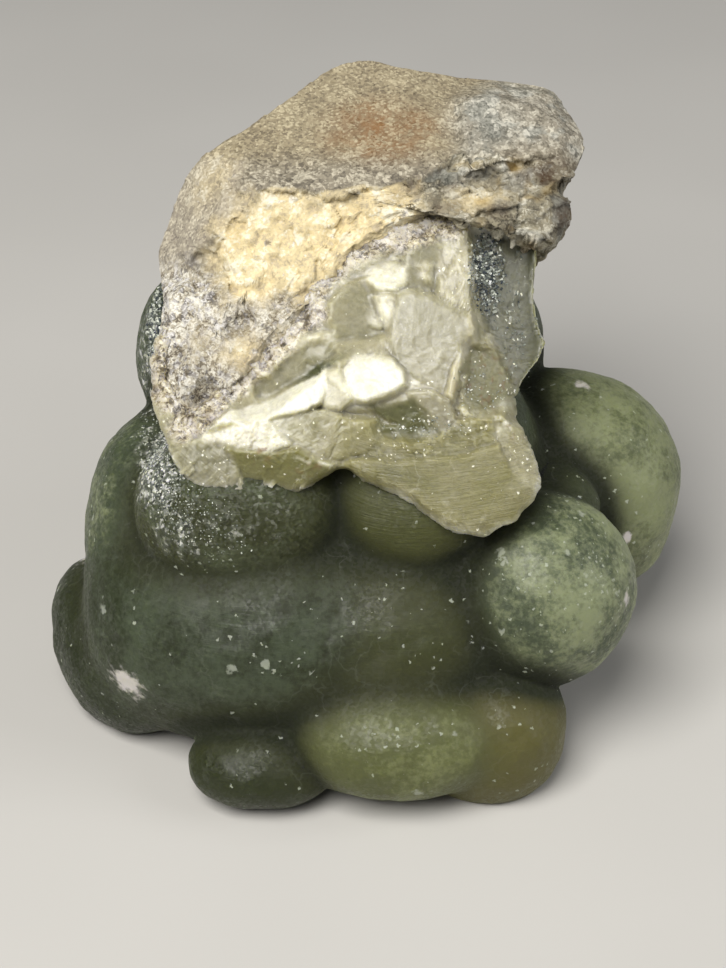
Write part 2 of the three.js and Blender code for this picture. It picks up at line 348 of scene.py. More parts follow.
def make_piece(
    name: str, points: Array, faces: Array, marks: Marks, smooth: bool = True
) -> Piece:
    """Puts a surface into the scene.

    Args:
        name: The piece's name.
        points: Points in millimetres, in the shapes' own frame.
        faces: The corners of each face, all with as many corners.
        marks: One value per point for each named attribute.
        smooth: Whether shading runs smoothly across the faces' edges.

    Returns:
        The new object, at the origin.
    """
    mesh = bpy.data.meshes.new(name)
    count, sides = faces.shape
    mesh.vertices.add(len(points))
    mesh.vertices.foreach_set("co", ((points - BASE_CENTRE) * MM).astype(np.float32).ravel())
    mesh.loops.add(count * sides)
    mesh.loops.foreach_set("vertex_index", faces.astype(np.int32).ravel())
    mesh.polygons.add(count)
    mesh.polygons.foreach_set("loop_start", np.arange(0, count * sides, sides, dtype=np.int32))
    mesh.polygons.foreach_set("loop_total", np.full(count, sides, dtype=np.int32))
    mesh.update(calc_edges=True)
    mesh.validate()
    mesh.polygons.foreach_set("use_smooth", np.full(len(mesh.polygons), smooth))
    for key, values in marks.items():
        mark = mesh.attributes.new(key, "FLOAT", "POINT")
        mark.data.foreach_set("value", np.clip(values, 0, 1).astype(np.float32))
    made = bpy.data.objects.new(name, mesh)
    bpy.context.scene.collection.objects.link(made)
    return made


def lay_fibres(made: Piece, across: Array, along: Array) -> None:
    """Lays the UV map that fibres follow.

    Args:
        made: The piece.
        across: Each point's place across the fibres, in millimetres.
        along: Each point's place along the fibres, in millimetres.
    """
    corners = np.empty(len(made.data.loops), dtype=np.int32)
    made.data.loops.foreach_get("vertex_index", corners)
    layer = made.data.uv_layers.new(name="fibre")
    layer.uv.foreach_set("vector", np.stack([across, along], axis=-1)[corners].astype(np.float32).ravel())


def arrays_of(mesh: bpy.types.Mesh) -> tuple[Array, Array, Array]:
    """Reads a mesh of quads back.

    Args:
        mesh: The mesh.

    Returns:
        Its points in millimetres, its outward normals and its faces.
    """
    count = len(mesh.vertices)
    points = np.empty(count * 3, dtype=np.float32)
    normals = np.empty(count * 3, dtype=np.float32)
    mesh.vertices.foreach_get("co", points)
    mesh.vertices.foreach_get("normal", normals)
    corners = np.empty(len(mesh.loops), dtype=np.int32)
    mesh.loops.foreach_get("vertex_index", corners)
    placed = points.reshape(-1, 3).astype(float) / MM + BASE_CENTRE
    return placed, normals.reshape(-1, 3).astype(float), corners.reshape(-1, 4)


def normals_of(points: Array, quads: Array) -> Array:
    """Outward normals of a closed surface of quads: each corner's mean of the crossed diagonals around it.

    Args:
        points: Points, one row each.
        quads: The corners of each face.

    Returns:
        One normal per point.
    """
    a, b, c, d = (points[quads[:, k]] for k in range(4))
    crossed = np.cross(c - a, d - b)
    total = np.zeros_like(points)
    for k in range(4):
        np.add.at(total, quads[:, k], crossed)
    return total / np.maximum(np.linalg.norm(total, axis=1, keepdims=True), 1e-12)


def one_skin(name: str, shells: list[Pair], voxel: float) -> bpy.types.Mesh:
    """Joins overlapping closed shells into one even skin of small quads, with a voxel remesh.

    Args:
        name: A name for the short-lived object.
        shells: Points and quads of each shell.
        voxel: The size of a quad, in millimetres.

    Returns:
        The joined mesh.
    """
    starts = np.cumsum([0] + [len(points) for points, _ in shells[:-1]])
    points = np.concatenate([points for points, _ in shells])
    quads = np.concatenate([quads + start for (_, quads), start in zip(shells, starts)])
    rough = make_piece(name, points, quads, {})
    remesh = rough.modifiers.new("skin", "REMESH")
    remesh.mode = "VOXEL"
    remesh.voxel_size = voxel * MM
    joined = bpy.data.meshes.new_from_object(rough.evaluated_get(bpy.context.evaluated_depsgraph_get()))
    left = rough.data
    bpy.data.objects.remove(rough)
    bpy.data.meshes.remove(left)
    return joined


# ---- Shader nodes


class Kind(Enum):
    """What a node group's input or output carries."""

    VECTOR = "NodeSocketVector"
    NUMBER = "NodeSocketFloat"
    COLOUR = "NodeSocketColor"


def shade(code: int) -> tuple[float, float, float, float]:
    """Turns a screen colour such as 0x8A8F6A into linear light.

    Args:
        code: The screen colour.

    Returns:
        Red, green, blue and alpha.
    """
    parts = [((code >> shift) & 0xFF) / 255 for shift in (16, 8, 0)]
    linear = [p / 12.92 if p <= 0.04045 else ((p + 0.055) / 1.055) ** 2.4 for p in parts]
    return (*linear, 1.0)


@dataclass(frozen=True)
class Value:
    """What comes out of a node. Sums, products and quotients of values are Math nodes."""

    graph: "Graph"
    socket: bpy.types.NodeSocket

    def __add__(self, other: "Feed") -> "Value":
        """The sum of both."""
        return self.graph.math("ADD", self, other)

    def __sub__(self, other: "Feed") -> "Value":
        """This less the other."""
        return self.graph.math("SUBTRACT", self, other)

    def __mul__(self, other: "Feed") -> "Value":
        """The product of both."""
        return self.graph.math("MULTIPLY", self, other)

    def __truediv__(self, other: "Feed") -> "Value":
        """This over the other."""
        return self.graph.math("DIVIDE", self, other)

    def __rtruediv__(self, other: float) -> "Value":
        """A number over this."""
        return self.graph.math("DIVIDE", other, self)

    def rise(self, low: float, high: float, start: float = 0.0, end: float = 1.0) -> "Value":
        """Goes smoothly from start to end as this goes from low to high."""
        feeds = {"Value": self, "From Min": low, "From Max": high, "To Min": start, "To Max": end}
        return self.graph.add("ShaderNodeMapRange", feeds, interpolation_type="SMOOTHSTEP")[0]

    def sway(self, reach: float) -> "Value":
        """Goes smoothly from -reach to reach as this goes from 0 to 1."""
        return self.rise(0, 1, -reach, reach)


Feed = Union[Value, float, tuple, None]
Colour = Union[Value, int]


@dataclass(frozen=True)
class Placed:
    """A node in its place, whose outputs are read by name or by number."""

    graph: "Graph"
    node: bpy.types.Node

    def __getitem__(self, key: str | int) -> Value:
        """One of the node's outputs."""
        return Value(self.graph, self.node.outputs[key])


class Graph:
    """Adds shader nodes to one tree and links them."""

    def __init__(self, tree: Tree) -> None:
        """Keeps the tree that nodes are added to."""
        self.tree = tree

    def add(self, kind: str, feeds: dict[str | int, Feed] | None = None, **settings: object) -> Placed:
        """Adds one node.

        Args:
            kind: The node's type.
            feeds: A value for each named or numbered input.
            **settings: Values for the node's own properties.

        Returns:
            The node in its place.
        """
        node = self.tree.nodes.new(kind)
        for key, value in settings.items():
            setattr(node, key, value)
        for key, value in (feeds or {}).items():
            self.feed(node.inputs[key], value)
        return Placed(self, node)

    def feed(self, socket: bpy.types.NodeSocket, value: Feed) -> None:
        """Links a value to a socket, or gives the socket a fixed number or colour.

        Args:
            socket: The input that is fed.
            value: What it is fed, or None to leave it as it is.
        """
        if isinstance(value, Value):
            self.tree.links.new(value.socket, socket)
        elif value is not None:
            socket.default_value = value

    def math(self, kind: str, a: Feed, b: Feed = None) -> Value:
        """One Math node's result."""
        return self.add("ShaderNodeMath", {0: a, 1: b}, operation=kind)[0]

    def arrow(self, kind: str, a: Feed, b: Feed = None) -> Value:
        """One Vector Math node's result. Where the kind is SCALE, b is a number."""
        feeds = {0: a, ("Scale" if kind == "SCALE" else 1): b}
        return self.add("ShaderNodeVectorMath", feeds, operation=kind)[0]

    def shifted(self, vector: Feed, chances: Feed, reach: Feed) -> Value:
        """A vector moved by reach * (chances - 0.5), where chances is a colour of three random numbers."""
        centred = self.arrow("SUBTRACT", chances, (0.5, 0.5, 0.5))
        return self.arrow("ADD", vector, self.arrow("SCALE", centred, reach))

    def mix(self, share: Feed, a: Colour, b: Colour, blend: str = "MIX") -> Value:
        """Lays one colour over another.

        Args:
            share: How much of the upper colour shows, from 0 to 1.
            a: The lower colour, as a value or a screen colour.
            b: The upper colour, as a value or a screen colour.
            blend: How the upper colour is laid on.

        Returns:
            The mixed colour.
        """
        a, b = (shade(colour) if isinstance(colour, int) else colour for colour in (a, b))
        return self.add("ShaderNodeMix", {0: share, 6: a, 7: b}, data_type="RGBA", blend_type=blend)[2]

    def grade(self, value: Value, tones: Tones) -> Value:
        """Goes through three colours as a value goes from 0 to 1."""
        low, middle, high = tones
        return self.mix(value.rise(0.5, 1.0), self.mix(value.rise(0.0, 0.5), low, middle), high)

    def clouds(self, vector: Feed, scale: Feed, detail: float, rough: float = 0.5) -> Placed:
        """Cloudy noise."""
        feeds = {"Vector": vector, "Scale": scale, "Detail": detail, "Roughness": rough}
        return self.add("ShaderNodeTexNoise", feeds)

    def cells(self, vector: Feed, scale: Feed, **settings: object) -> Placed:
        """Space broken into cells, each with a random colour of its own."""
        return self.add("ShaderNodeTexVoronoi", {"Vector": vector, "Scale": scale}, **settings)

    def apart(self, colour: Value) -> Placed:
        """A colour's three parts."""
        return self.add("ShaderNodeSeparateColor", {0: colour})


class Group(Graph):
    """A node group that materials share. It takes a position, a scale and at most one further number."""

    def __init__(self, name: str, outputs: dict[str, Kind], further: str = "") -> None:
        """Starts the group.

        Args:
            name: The group's name.
            outputs: Each output's name and kind.
            further: The further input's name, or nothing if there is none.
        """
        super().__init__(bpy.data.node_groups.new(name, "ShaderNodeTree"))
        inputs = {"Vector": Kind.VECTOR, "Scale": Kind.NUMBER}
        if further:
            inputs[further] = Kind.NUMBER
        for way, sockets in (("INPUT", inputs), ("OUTPUT", outputs)):
            for key, kind in sockets.items():
                self.tree.interface.new_socket(key, in_out=way, socket_type=kind.value)
        self.taken = self.add("NodeGroupInput")
        self.place, self.scale = self.taken["Vector"], self.taken["Scale"]

    def give(self, outputs: dict[str, Value]) -> Tree:
        """Feeds the outputs by name and gives the finished group."""
        self.add("NodeGroupOutput", outputs)
        return self.tree


def glitter_group() -> Tree:
    """Small flat crystal faces: space is broken into cells, and each cell tips the normal its own way.

    Returns:
        A group whose scale is the cells' and whose further input is how far they tip the normal. Its outputs
        are the tipped normal and two random numbers for each cell.
    """
    group = Group("glitter", {"Normal": Kind.VECTOR, "Cell": Kind.NUMBER, "Other": Kind.NUMBER}, "Tip")
    chances = group.cells(group.place, group.scale)["Color"]
    tipped = group.shifted(group.add("ShaderNodeNewGeometry")["Normal"], chances, group.taken["Tip"])
    apart = group.apart(chances)
    return group.give({"Normal": group.arrow("NORMALIZE", tipped), "Cell": apart[0], "Other": apart[1]})


def fleck_group() -> Tree:
    """Scattered flecks: a few of the cells hold a ragged spot of their own size.

    Returns:
        A group whose scale is the cells' and whose further input is the share of cells that hold a spot. Its
        output is the spots' mask.
    """
    group = Group("fleck", {"Mask": Kind.NUMBER}, "Share")
    wobble = group.clouds(group.place, group.scale * 1.7, 3.0)["Color"]
    cells = group.cells(group.shifted(group.place, wobble, 1.1 / group.scale), group.scale)
    apart = group.apart(cells["Color"])
    spot = (cells["Distance"] / (apart[1] * 0.3 + 0.12)).rise(0.5, 1.0, 1.0, 0.0)
    return group.give({"Mask": spot * group.math("LESS_THAN", apart[0], group.taken["Share"])})


def cloud_group() -> Tree:
    """Uneven tone within a mineral: large soft clouds, and a grain that is nine times finer.

    Returns:
        A group whose scale is the clouds'. Its outputs are the clouds, the grain and a height for bumps, all
        from 0 to 1.
    """
    group = Group("cloud", {"Cloud": Kind.NUMBER, "Grain": Kind.NUMBER, "Height": Kind.NUMBER})
    clouds = group.clouds(group.place, group.scale, 5.0, 0.6)[0]
    grain = group.clouds(group.place, group.scale * 9.0, 4.0, 0.65)[0]
    height = clouds * 0.6 + grain * 0.4
    return group.give({"Cloud": clouds.rise(0.3, 0.7), "Grain": grain.rise(0.25, 0.75), "Height": height})


def crumble_group() -> Tree:
    """Crumbly rock: small and large grains, each of its own tone, most beige to white and some lavender
    grey.

    Returns:
        A group whose scale is the larger grains'. Its outputs are the colour and a height for bumps.
    """
    group = Group("crumble", {"Color": Kind.COLOUR, "Height": Kind.NUMBER})
    wander = group.clouds(group.place, group.scale, 4.0)["Color"]
    moved = group.shifted(group.place, wander, 1.5 / group.scale)
    small = group.cells(moved, group.scale * 2.3)
    coarse = group.apart(group.cells(moved, group.scale)["Color"])
    slow = group.clouds(group.place, group.scale * 0.3, 4.0)[0].rise(0.3, 0.7, -0.06, 0.34)
    tone = (group.apart(small["Color"])[0] * 0.5 + coarse[0] * 0.34 + slow).rise(0.12, 0.86)
    warm = group.grade(tone, (0x6E6557, 0xC4BBA7, 0xF2EEE2))
    cool = group.grade(tone, (0x6A6764, 0xB1ACA8, 0xE8E5E1))
    colour = group.mix(coarse[1].rise(0.66, 0.7), warm, cool)
    return group.give({"Color": colour, "Height": small["Distance"] + tone * 0.7})


def fibre_group() -> Tree:
    """Fine parallel fibres, along the second of two coordinates.

    Returns:
        A group whose position is the fibre map and whose scale is how many fibres lie across a millimetre.
        Its output is the fibres' value from 0 to 1.
    """
    group = Group("fibre", {"Strand": Kind.NUMBER})
    apart = group.add("ShaderNodeSeparateXYZ", {0: group.place})
    place = group.add("ShaderNodeCombineXYZ", {0: apart[0] * group.scale, 1: apart[1] * 0.35, 2: 0.0})[0]
    feeds = {"Vector": place, "Scale": 1.0, "Detail": 4.0, "Roughness": 0.6, "Distortion": 0.25}
    return group.give({"Strand": group.add("ShaderNodeTexNoise", feeds)[0].rise(0.3, 0.7)})


def vein_group() -> Tree:
    """A broken net of fine pale cracks: the borders of wandering cells, faded in and out by a slow noise.

    Returns:
        A group whose scale is the cells'. Its output is the cracks' mask.
    """
    group = Group("vein", {"Mask": Kind.NUMBER})
    wander = group.clouds(group.place, group.scale, 4.0)
    moved = group.shifted(group.place, wander["Color"], 1.6 / group.scale)
    edge = group.cells(moved, group.scale, feature="DISTANCE_TO_EDGE")["Distance"]
    return group.give({"Mask": edge.rise(0.0, 0.045, 1.0, 0.0) * wander[0].rise(0.45, 0.62)})


class Surface(Graph):
    """A material's nodes, round one Principled BSDF."""

    def __init__(self, name: str) -> None:
        """Makes the material and reads the object's coordinates.

        Args:
            name: The material's name.
        """
        self.made = bpy.data.materials.new(name)
        self.made.use_nodes = True
        super().__init__(self.made.node_tree)
        self.place = self.add("ShaderNodeTexCoord")["Object"]

    def mark(self, name: str) -> Value:
        """The value of a named attribute of the piece."""
        return self.add("ShaderNodeAttribute", attribute_name=name)["Fac"]

    def noise(self, size: float, detail: float = 3.0, rough: float = 0.55) -> Value:
        """Cloudy noise from 0 to 1, with lumps about size millimetres wide."""
        return self.clouds(self.place, 1 / (size * MM), detail, rough)[0]

    def use(self, group: Tree, size: float, **further: Feed) -> Placed:
        """Places a node group, whose cells or clouds are about size millimetres wide."""
        feeds = {"Vector": self.place, "Scale": 1 / (size * MM), **further}
        return self.add("ShaderNodeGroup", feeds, node_tree=group)

    def strands(self, group: Tree, count: float) -> Value:
        """Fibres along the piece's fibre map, with count of them across a millimetre."""
        threads = self.add("ShaderNodeUVMap", uv_map="fibre")[0]
        return self.add("ShaderNodeGroup", {"Vector": threads, "Scale": count}, node_tree=group)[0]

    def lay(self, colour: Colour, layers: dict[str, Colour]) -> Value:
        """Lays colours over a colour in turn, each as strongly as the attribute of its name says.

        Args:
            colour: The lowest colour.
            layers: The colours that lie over it, by attribute.

        Returns:
            The mixed colour.
        """
        for name, layer in layers.items():
            colour = self.mix(self.mark(name), colour, layer)
        return colour

    def bumps(self, height: Value, strength: float, depth: float, normal: Value | None = None) -> Value:
        """A normal that follows a height from 0 to 1, over a depth in millimetres."""
        feeds = {"Strength": strength, "Distance": depth * MM, "Height": height, "Normal": normal}
        return self.add("ShaderNodeBump", feeds)[0]

    def finish(self, feeds: dict[str, Feed]) -> bpy.types.Material:
        """Feeds the shader's inputs.

        Args:
            feeds: A value for each named input.

        Returns:
            The finished material.
        """
        shader = self.tree.nodes["Principled BSDF"]
        for key, value in feeds.items():
            self.feed(shader.inputs[key], value)
        return self.made


@dataclass(frozen=True)
class Effects:
    """The node groups that the finishes share."""

    glitter: Tree
    fleck: Tree
    cloud: Tree
    fibre: Tree
    crumble: Tree
    vein: Tree


@dataclass(frozen=True)
class LobeFinish:
    """Translucent green prehnite with a fine crystal crust that sparkles."""

    green: Tones = (0x1A2204, 0x3F4833, 0x838A6A)
    yellow: int = 0x65662C
    brown: int = 0x55441C
    # crease: near-black olive laid where the lobes fold together: painted shade in the creases.
    crease: int = 0x161B04
    # frost: pale grey-white of the flecks and veins; on the lit fronts the flecks are partly painted
    # highlights.
    frost: int = 0xA9AEA0
    # silver: grains from dark to near white that paint the sparkle of the crust's tiny faces.
    silver_sparkle: Tones = (0x2E332B, 0x6C7166, 0xE2E2DA)
    bloom: int = 0xC6C1BC
    sheen: int = 0xC4CFB8
    glow_mm: float = 1.8

    def material(self, effects: Effects) -> bpy.types.Material:
        """Builds the material.

        The tone comes from the light mark, clouds, grain and fibres; the light mark carries painted light and
        shade. Over it lie tints, among them the near-black crease tint that paints shade into the creases,
        flecks that are partly painted frosted highlights, the silvery crust's painted sparkle, faint veins
        and white bloom.

        Args:
            effects: The shared node groups.

        Returns:
            The material.
        """
        nodes = Surface("prehnite_lobes")
        cloud = nodes.use(effects.cloud, 5)
        strand = (nodes.strands(effects.fibre, 5.0) - 0.5) * nodes.mark("fibrous")
        tone = nodes.mark("light") + cloud["Cloud"].sway(0.12) + nodes.noise(1.7).rise(0.3, 0.7, -0.07, 0.07)
        tone = tone + strand * 0.22 + cloud["Grain"].sway(0.11)
        # The crease tint paints shade into the creases.
        tints = {"yellow": self.yellow, "brown": self.brown, "crease": self.crease}
        colour = nodes.lay(nodes.grade(tone, self.green), tints)
        # The fleck mark carries the lobes' own pale flecks and painted frosted highlights.
        small = nodes.use(effects.fleck, 0.55, Share=nodes.mark("fleck") * 0.8)[0]
        large = nodes.use(effects.fleck, 1.5, Share=nodes.mark("fleck") * 0.35)[0]
        flecks = nodes.math("MAXIMUM", small * 0.75, large * 0.6)
        colour = nodes.mix(flecks, colour, self.frost)
        tip = (nodes.mark("glint") + nodes.mark("silver_sparkle")).rise(0.0, 1.0, 0.04, 0.8)
        crust = nodes.use(effects.glitter, 0.26, Tip=tip)
        # Painted sparkle: dark to near-white grains laid on the lip and flank.
        ragged = nodes.mark("silver_sparkle") + nodes.noise(1.3, 4.0).sway(0.6)
        silver_sparkle = ragged.rise(0.2, 0.8) * nodes.mark("silver_sparkle").rise(0.02, 0.2)
        colour = nodes.mix(silver_sparkle, colour, nodes.grade(crust["Cell"], self.silver_sparkle))
        colour = nodes.mix(nodes.use(effects.vein, 3.2)[0] * 0.05, colour, self.frost)
        dust = (nodes.mark("bloom") + nodes.noise(0.9, 4.0).sway(0.45)).rise(0.3, 0.75)
        dull = nodes.math("MAXIMUM", dust, nodes.mark("crease")) * 0.35
        height = cloud["Height"] * 0.4 + strand * 0.5 + flecks * 0.3
        return nodes.finish({
            "Base Color": nodes.mix(dust, colour, self.bloom),
            "Normal": nodes.bumps(height, 0.45, 0.22, crust["Normal"]),
            "Roughness": crust["Cell"].rise(0, 1, 0.42, 0.6) + dull,
            "Sheen Weight": 0.04,
            "Sheen Roughness": 0.5,
            "Sheen Tint": shade(self.sheen),
            "Subsurface Weight": 0.9,
            "Subsurface Radius": (0.9, 1.0, 0.45),
            "Subsurface Scale": self.glow_mm * MM,
            "Specular IOR Level": 0.33,
            "IOR": 1.6,
        })


@dataclass(frozen=True)
class BreakFinish:
    """Freshly broken prehnite: glassy pale faces, milky white blocks and yellow-green fibres."""

    body: int = 0xB9B399
    olive: int = 0x827E47
    milk: int = 0xF6F5E6
    # deep: dark olive laid by the deep mark: painted shade in hollows, under the ridge and along the right
    # edge, and partly the darker olive of the skirt and side faces.
    deep: int = 0x4B4F2C
    grey: int = 0x66685C
    brown: int = 0x6E4F26
    dust: int = 0xD6D2C8
    thread: int = 0xBFBDA0
    grain: int = 0xB4B2A4
    glow_mm: float = 2.2

    def material(self, effects: Effects) -> bpy.types.Material:
        """Builds the material.

        The milk mark whitens the tinted body. The deep tint is painted shade in hollows, under the ridge and
        along the right edge, and partly the darker olive of the skirt and the side faces; on the skirt the
        milk also carries painted sheen. Over it lie fibres, grain, flecks, which are partly painted glints,
        veins, rust and loose crumbs.

        Args:
            effects: The shared node groups.

        Returns:
            The material.
        """
        nodes = Surface("prehnite_break")
        cloud = nodes.use(effects.cloud, 3.2)
        strand = nodes.strands(effects.fibre, 6.0)
        # The deep tint is mostly painted shade.
        colour = nodes.lay(self.body, {"olive": self.olive, "grey": self.grey, "deep": self.deep})
        milky = nodes.mark("milk") + cloud["Cloud"].sway(0.12)
        colour = nodes.mix(milky.rise(0.1, 1.0), colour, self.milk)
        shown = nodes.mark("fibrous") * 0.5
        colour = nodes.mix(shown, colour, nodes.mix(strand, self.thread, WHITE), "MULTIPLY")
        colour = nodes.mix(0.4, colour, nodes.mix(cloud["Grain"], self.grain, WHITE), "MULTIPLY")
        flecks = nodes.use(effects.fleck, 0.36, Share=nodes.mark("fleck"))[0]
        flecks = nodes.math("MAXIMUM", flecks * 0.85, nodes.use(effects.vein, 2.4)[0] * 0.1)
        grains = nodes.use(effects.crumble, 0.42)["Color"]
        loose = nodes.mix(1.0, grains, self.dust, "MULTIPLY")
        colour = nodes.lay(nodes.mix(flecks, colour, self.milk), {"brown": self.brown, "crumb": loose})
        crust = nodes.use(effects.glitter, 0.42, Tip=nodes.mark("glint").rise(0.0, 1.0, 0.04, 0.9))
        height = cloud["Height"] * nodes.mark("glint").rise(0, 1, 0.35, 1.0) + shown * (strand * 0.6)
        return nodes.finish({
            "Base Color": colour,
            "Normal": nodes.bumps(height, 0.6, 0.3, crust["Normal"]),
            "Roughness": cloud["Grain"].rise(0, 1, 0.3, 0.5),
            "Subsurface Weight": 0.85,
            "Subsurface Radius": (1.0, 0.95, 0.5),
            "Subsurface Scale": self.glow_mm * MM,
            "IOR": 1.6,
        })


@dataclass(frozen=True)
class RockFinish:
    """Altered host rock: a sandy weathered crust, a cream crumbly zone and a speckled grey zone."""

    crust: Tones = (0x6E6452, 0x978B71, 0xC0B597)
    crust_low: Tones = (0x5F594E, 0x8B8372, 0xC2BAA6)
    nose: Tones = (0x686356, 0x958E7F, 0xC6C0AF)
    band: Tones = (0x877F75, 0xA59C8B, 0xC9C1AC)
    cream: Tones = (0xB8AA8E, 0xDDCCA0, 0xF0E9D2)
    ledge: Tones = (0x4C473B, 0x928B76, 0xDBD6C4)
    cool: Tones = (0x66675F, 0x94948B, 0xCBC8BC)
    rust: int = 0x86623C
    ochre: int = 0xB89C5C
    # dark: laid by the dark mark: dark specks and spots, and painted shade in pits, cracks and at the ledges'
    # feet.
    dark: int = 0x2E2820
    # umber: brown, laid as brown tints and as painted shade under the nose.
    umber_and_shade: int = 0x4E3C29
    dust: int = 0xD2C9B6

    def material(self, effects: Effects) -> bpy.types.Material:
        """Builds the material.

        Each zone has three tones, which it goes through by a fine or a coarse grain. Rust, ochre, umber,
        loose crumbs and dark marks lie over them. The umber also paints the shade under the nose, and the
        dark marks are partly dark specks and spots and partly painted shade in pits, cracks and at the
        ledges' feet.

        Args:
            effects: The shared node groups.

        Returns:
            The material.
        """
        nodes = Surface("host_rock")
        cloud = nodes.use(effects.cloud, 4)
        sand = nodes.use(effects.glitter, 0.22, Tip=0.35)
        grit = nodes.use(effects.glitter, 0.7, Tip=0.6)
        grains = nodes.use(effects.crumble, 0.42)
        fine = sand["Cell"] * 0.36 + nodes.noise(3.2, 7.0, 0.68) * 0.66
        coarse = (grit["Cell"] * 0.25 + fine * 0.75).rise(0.22, 0.8)
        fine = fine.rise(0.16, 0.86)
        cool = nodes.math("MAXIMUM", nodes.noise(3.4).rise(0.48, 0.6, 0.0, 0.8), nodes.mark("cool"))
        nose = nodes.mix(cool, nodes.grade(coarse, self.nose), nodes.grade(coarse, self.cool))
        colour = nodes.lay(nodes.grade(fine, self.crust), {"low": nodes.grade(coarse, self.crust_low)})
        colour = nodes.lay(colour, {"nose": nose})
        rust = nodes.mark("rust") * coarse.rise(0.2, 0.9, 1.0, 0.35)
        colour = nodes.mix(rust, colour, self.rust)
        blocky = coarse * 0.65 + nodes.mark("tone").rise(0, 1, -0.25, 0.55)
        ledges = nodes.mix(cool, nodes.grade(blocky, self.ledge), nodes.grade(blocky, self.cool))
        creamy = fine * 0.6 + nodes.noise(1.6, 5.0).rise(0.3, 0.72, -0.06, 0.55)
        crumbs = nodes.use(effects.fleck, 1.1, Share=0.3)[0] * 0.8
        creamed = nodes.mix(crumbs, nodes.grade(creamy, self.cream), grains["Color"])
        zones = {"band": nodes.grade(fine, self.band), "speckle": grains["Color"], "ledge": ledges}
        colour = nodes.lay(colour, {**zones, "cream": creamed, "ochre": self.ochre})
        umber_and_shade = nodes.mark("umber_and_shade") * coarse.rise(0.1, 0.9, 1.0, 0.65)
        loose = nodes.mix(1.0, grains["Color"], self.dust, "MULTIPLY")
        # The umber is partly painted shade under the nose; the dark mark is partly painted shade in pits,
        # cracks and at the ledges' feet.
        colour = nodes.lay(nodes.mix(umber_and_shade, colour, self.umber_and_shade), {"verge": loose, "dark": self.dark})
        height = cloud["Height"] + fine * 0.6 + nodes.mark("speckle") * grains["Height"] * 0.5
        return nodes.finish({
            "Base Color": colour,
            "Normal": nodes.bumps(height, 0.9, 0.25, sand["Normal"]),
            "Roughness": sand["Other"].rise(0.8, 0.95, 0.8, 0.25),
            "IOR": 1.5,
        })


@dataclass(frozen=True)
class DruseFinish:
    """Tiny glassy crystals, from steel grey to near white."""

    tones: Tones = (0x363D44, 0x7A8078, 0xD6DACE)

    def material(self, effects: Effects) -> bpy.types.Material:
        """Builds the material.

        Args:
            effects: The shared node groups.

        Returns:
            The material.
        """
        nodes = Surface("druse")
        cloud = nodes.use(effects.cloud, 1.2)
        return nodes.finish({
            "Base Color": nodes.grade(nodes.mark("tone") + cloud["Grain"].sway(0.1), self.tones),
            "Normal": nodes.bumps(cloud["Height"], 0.3, 0.1),
            "Roughness": cloud["Grain"].rise(0, 1, 0.08, 0.25),
            "IOR": 1.6,
        })


# ---- The part's own pieces


@dataclass(frozen=True)
class Spot:
    """A soft-edged spot of the surface: its middle, its half-widths, its strength and its turn in degrees."""

    name: str
    u: float
    v: float
    half_u: float
    half_v: float
    strength: float
    turn: float = 0.0

    def over(self, u: Array, v: Array) -> Array:
        """The spot's strength at each place: strength * exp(-r^2), where r is the distance in half-widths.

        Args:
            u: Across the face.
            v: Up the face.

        Returns:
            One strength per place.
        """
        angle = math.radians(self.turn)
        du, dv = u - self.u, v - self.v
        along = (du * math.cos(angle) + dv * math.sin(angle)) / self.half_u
        across = (dv * math.cos(angle) - du * math.sin(angle)) / self.half_v
        return self.strength * np.exp(-(along**2) - across**2)


Spots = tuple[Spot, ...]


def spotted(spots: Spots, u: Array, v: Array) -> Array:
    """The strongest of several spots at each place."""
    return np.max([spot.over(u, v) for spot in spots], axis=0)


@dataclass(frozen=True)
class Facet:
    """A flat with drawn corners. Its height is a rise at the corners' middle, and a slope along u and v."""

    name: str
    corners: Corners
    height: Triple

    def away(self, u: Array, v: Array) -> Pair:
        """How far each place is from the corners' middle, along u and v."""
        middle_u, middle_v = np.mean(np.array(self.corners), axis=0)
        return u - middle_u, v - middle_v

    def plane(self, u: Array, v: Array) -> Array:
        """The flat's height.

        Args:
            u: Across the face.
            v: Up the face.

        Returns:
            One height per place.
        """
        away_u, away_v = self.away(u, v)
        rise, along_u, along_v = self.height
        return rise + along_u * away_u + along_v * away_v


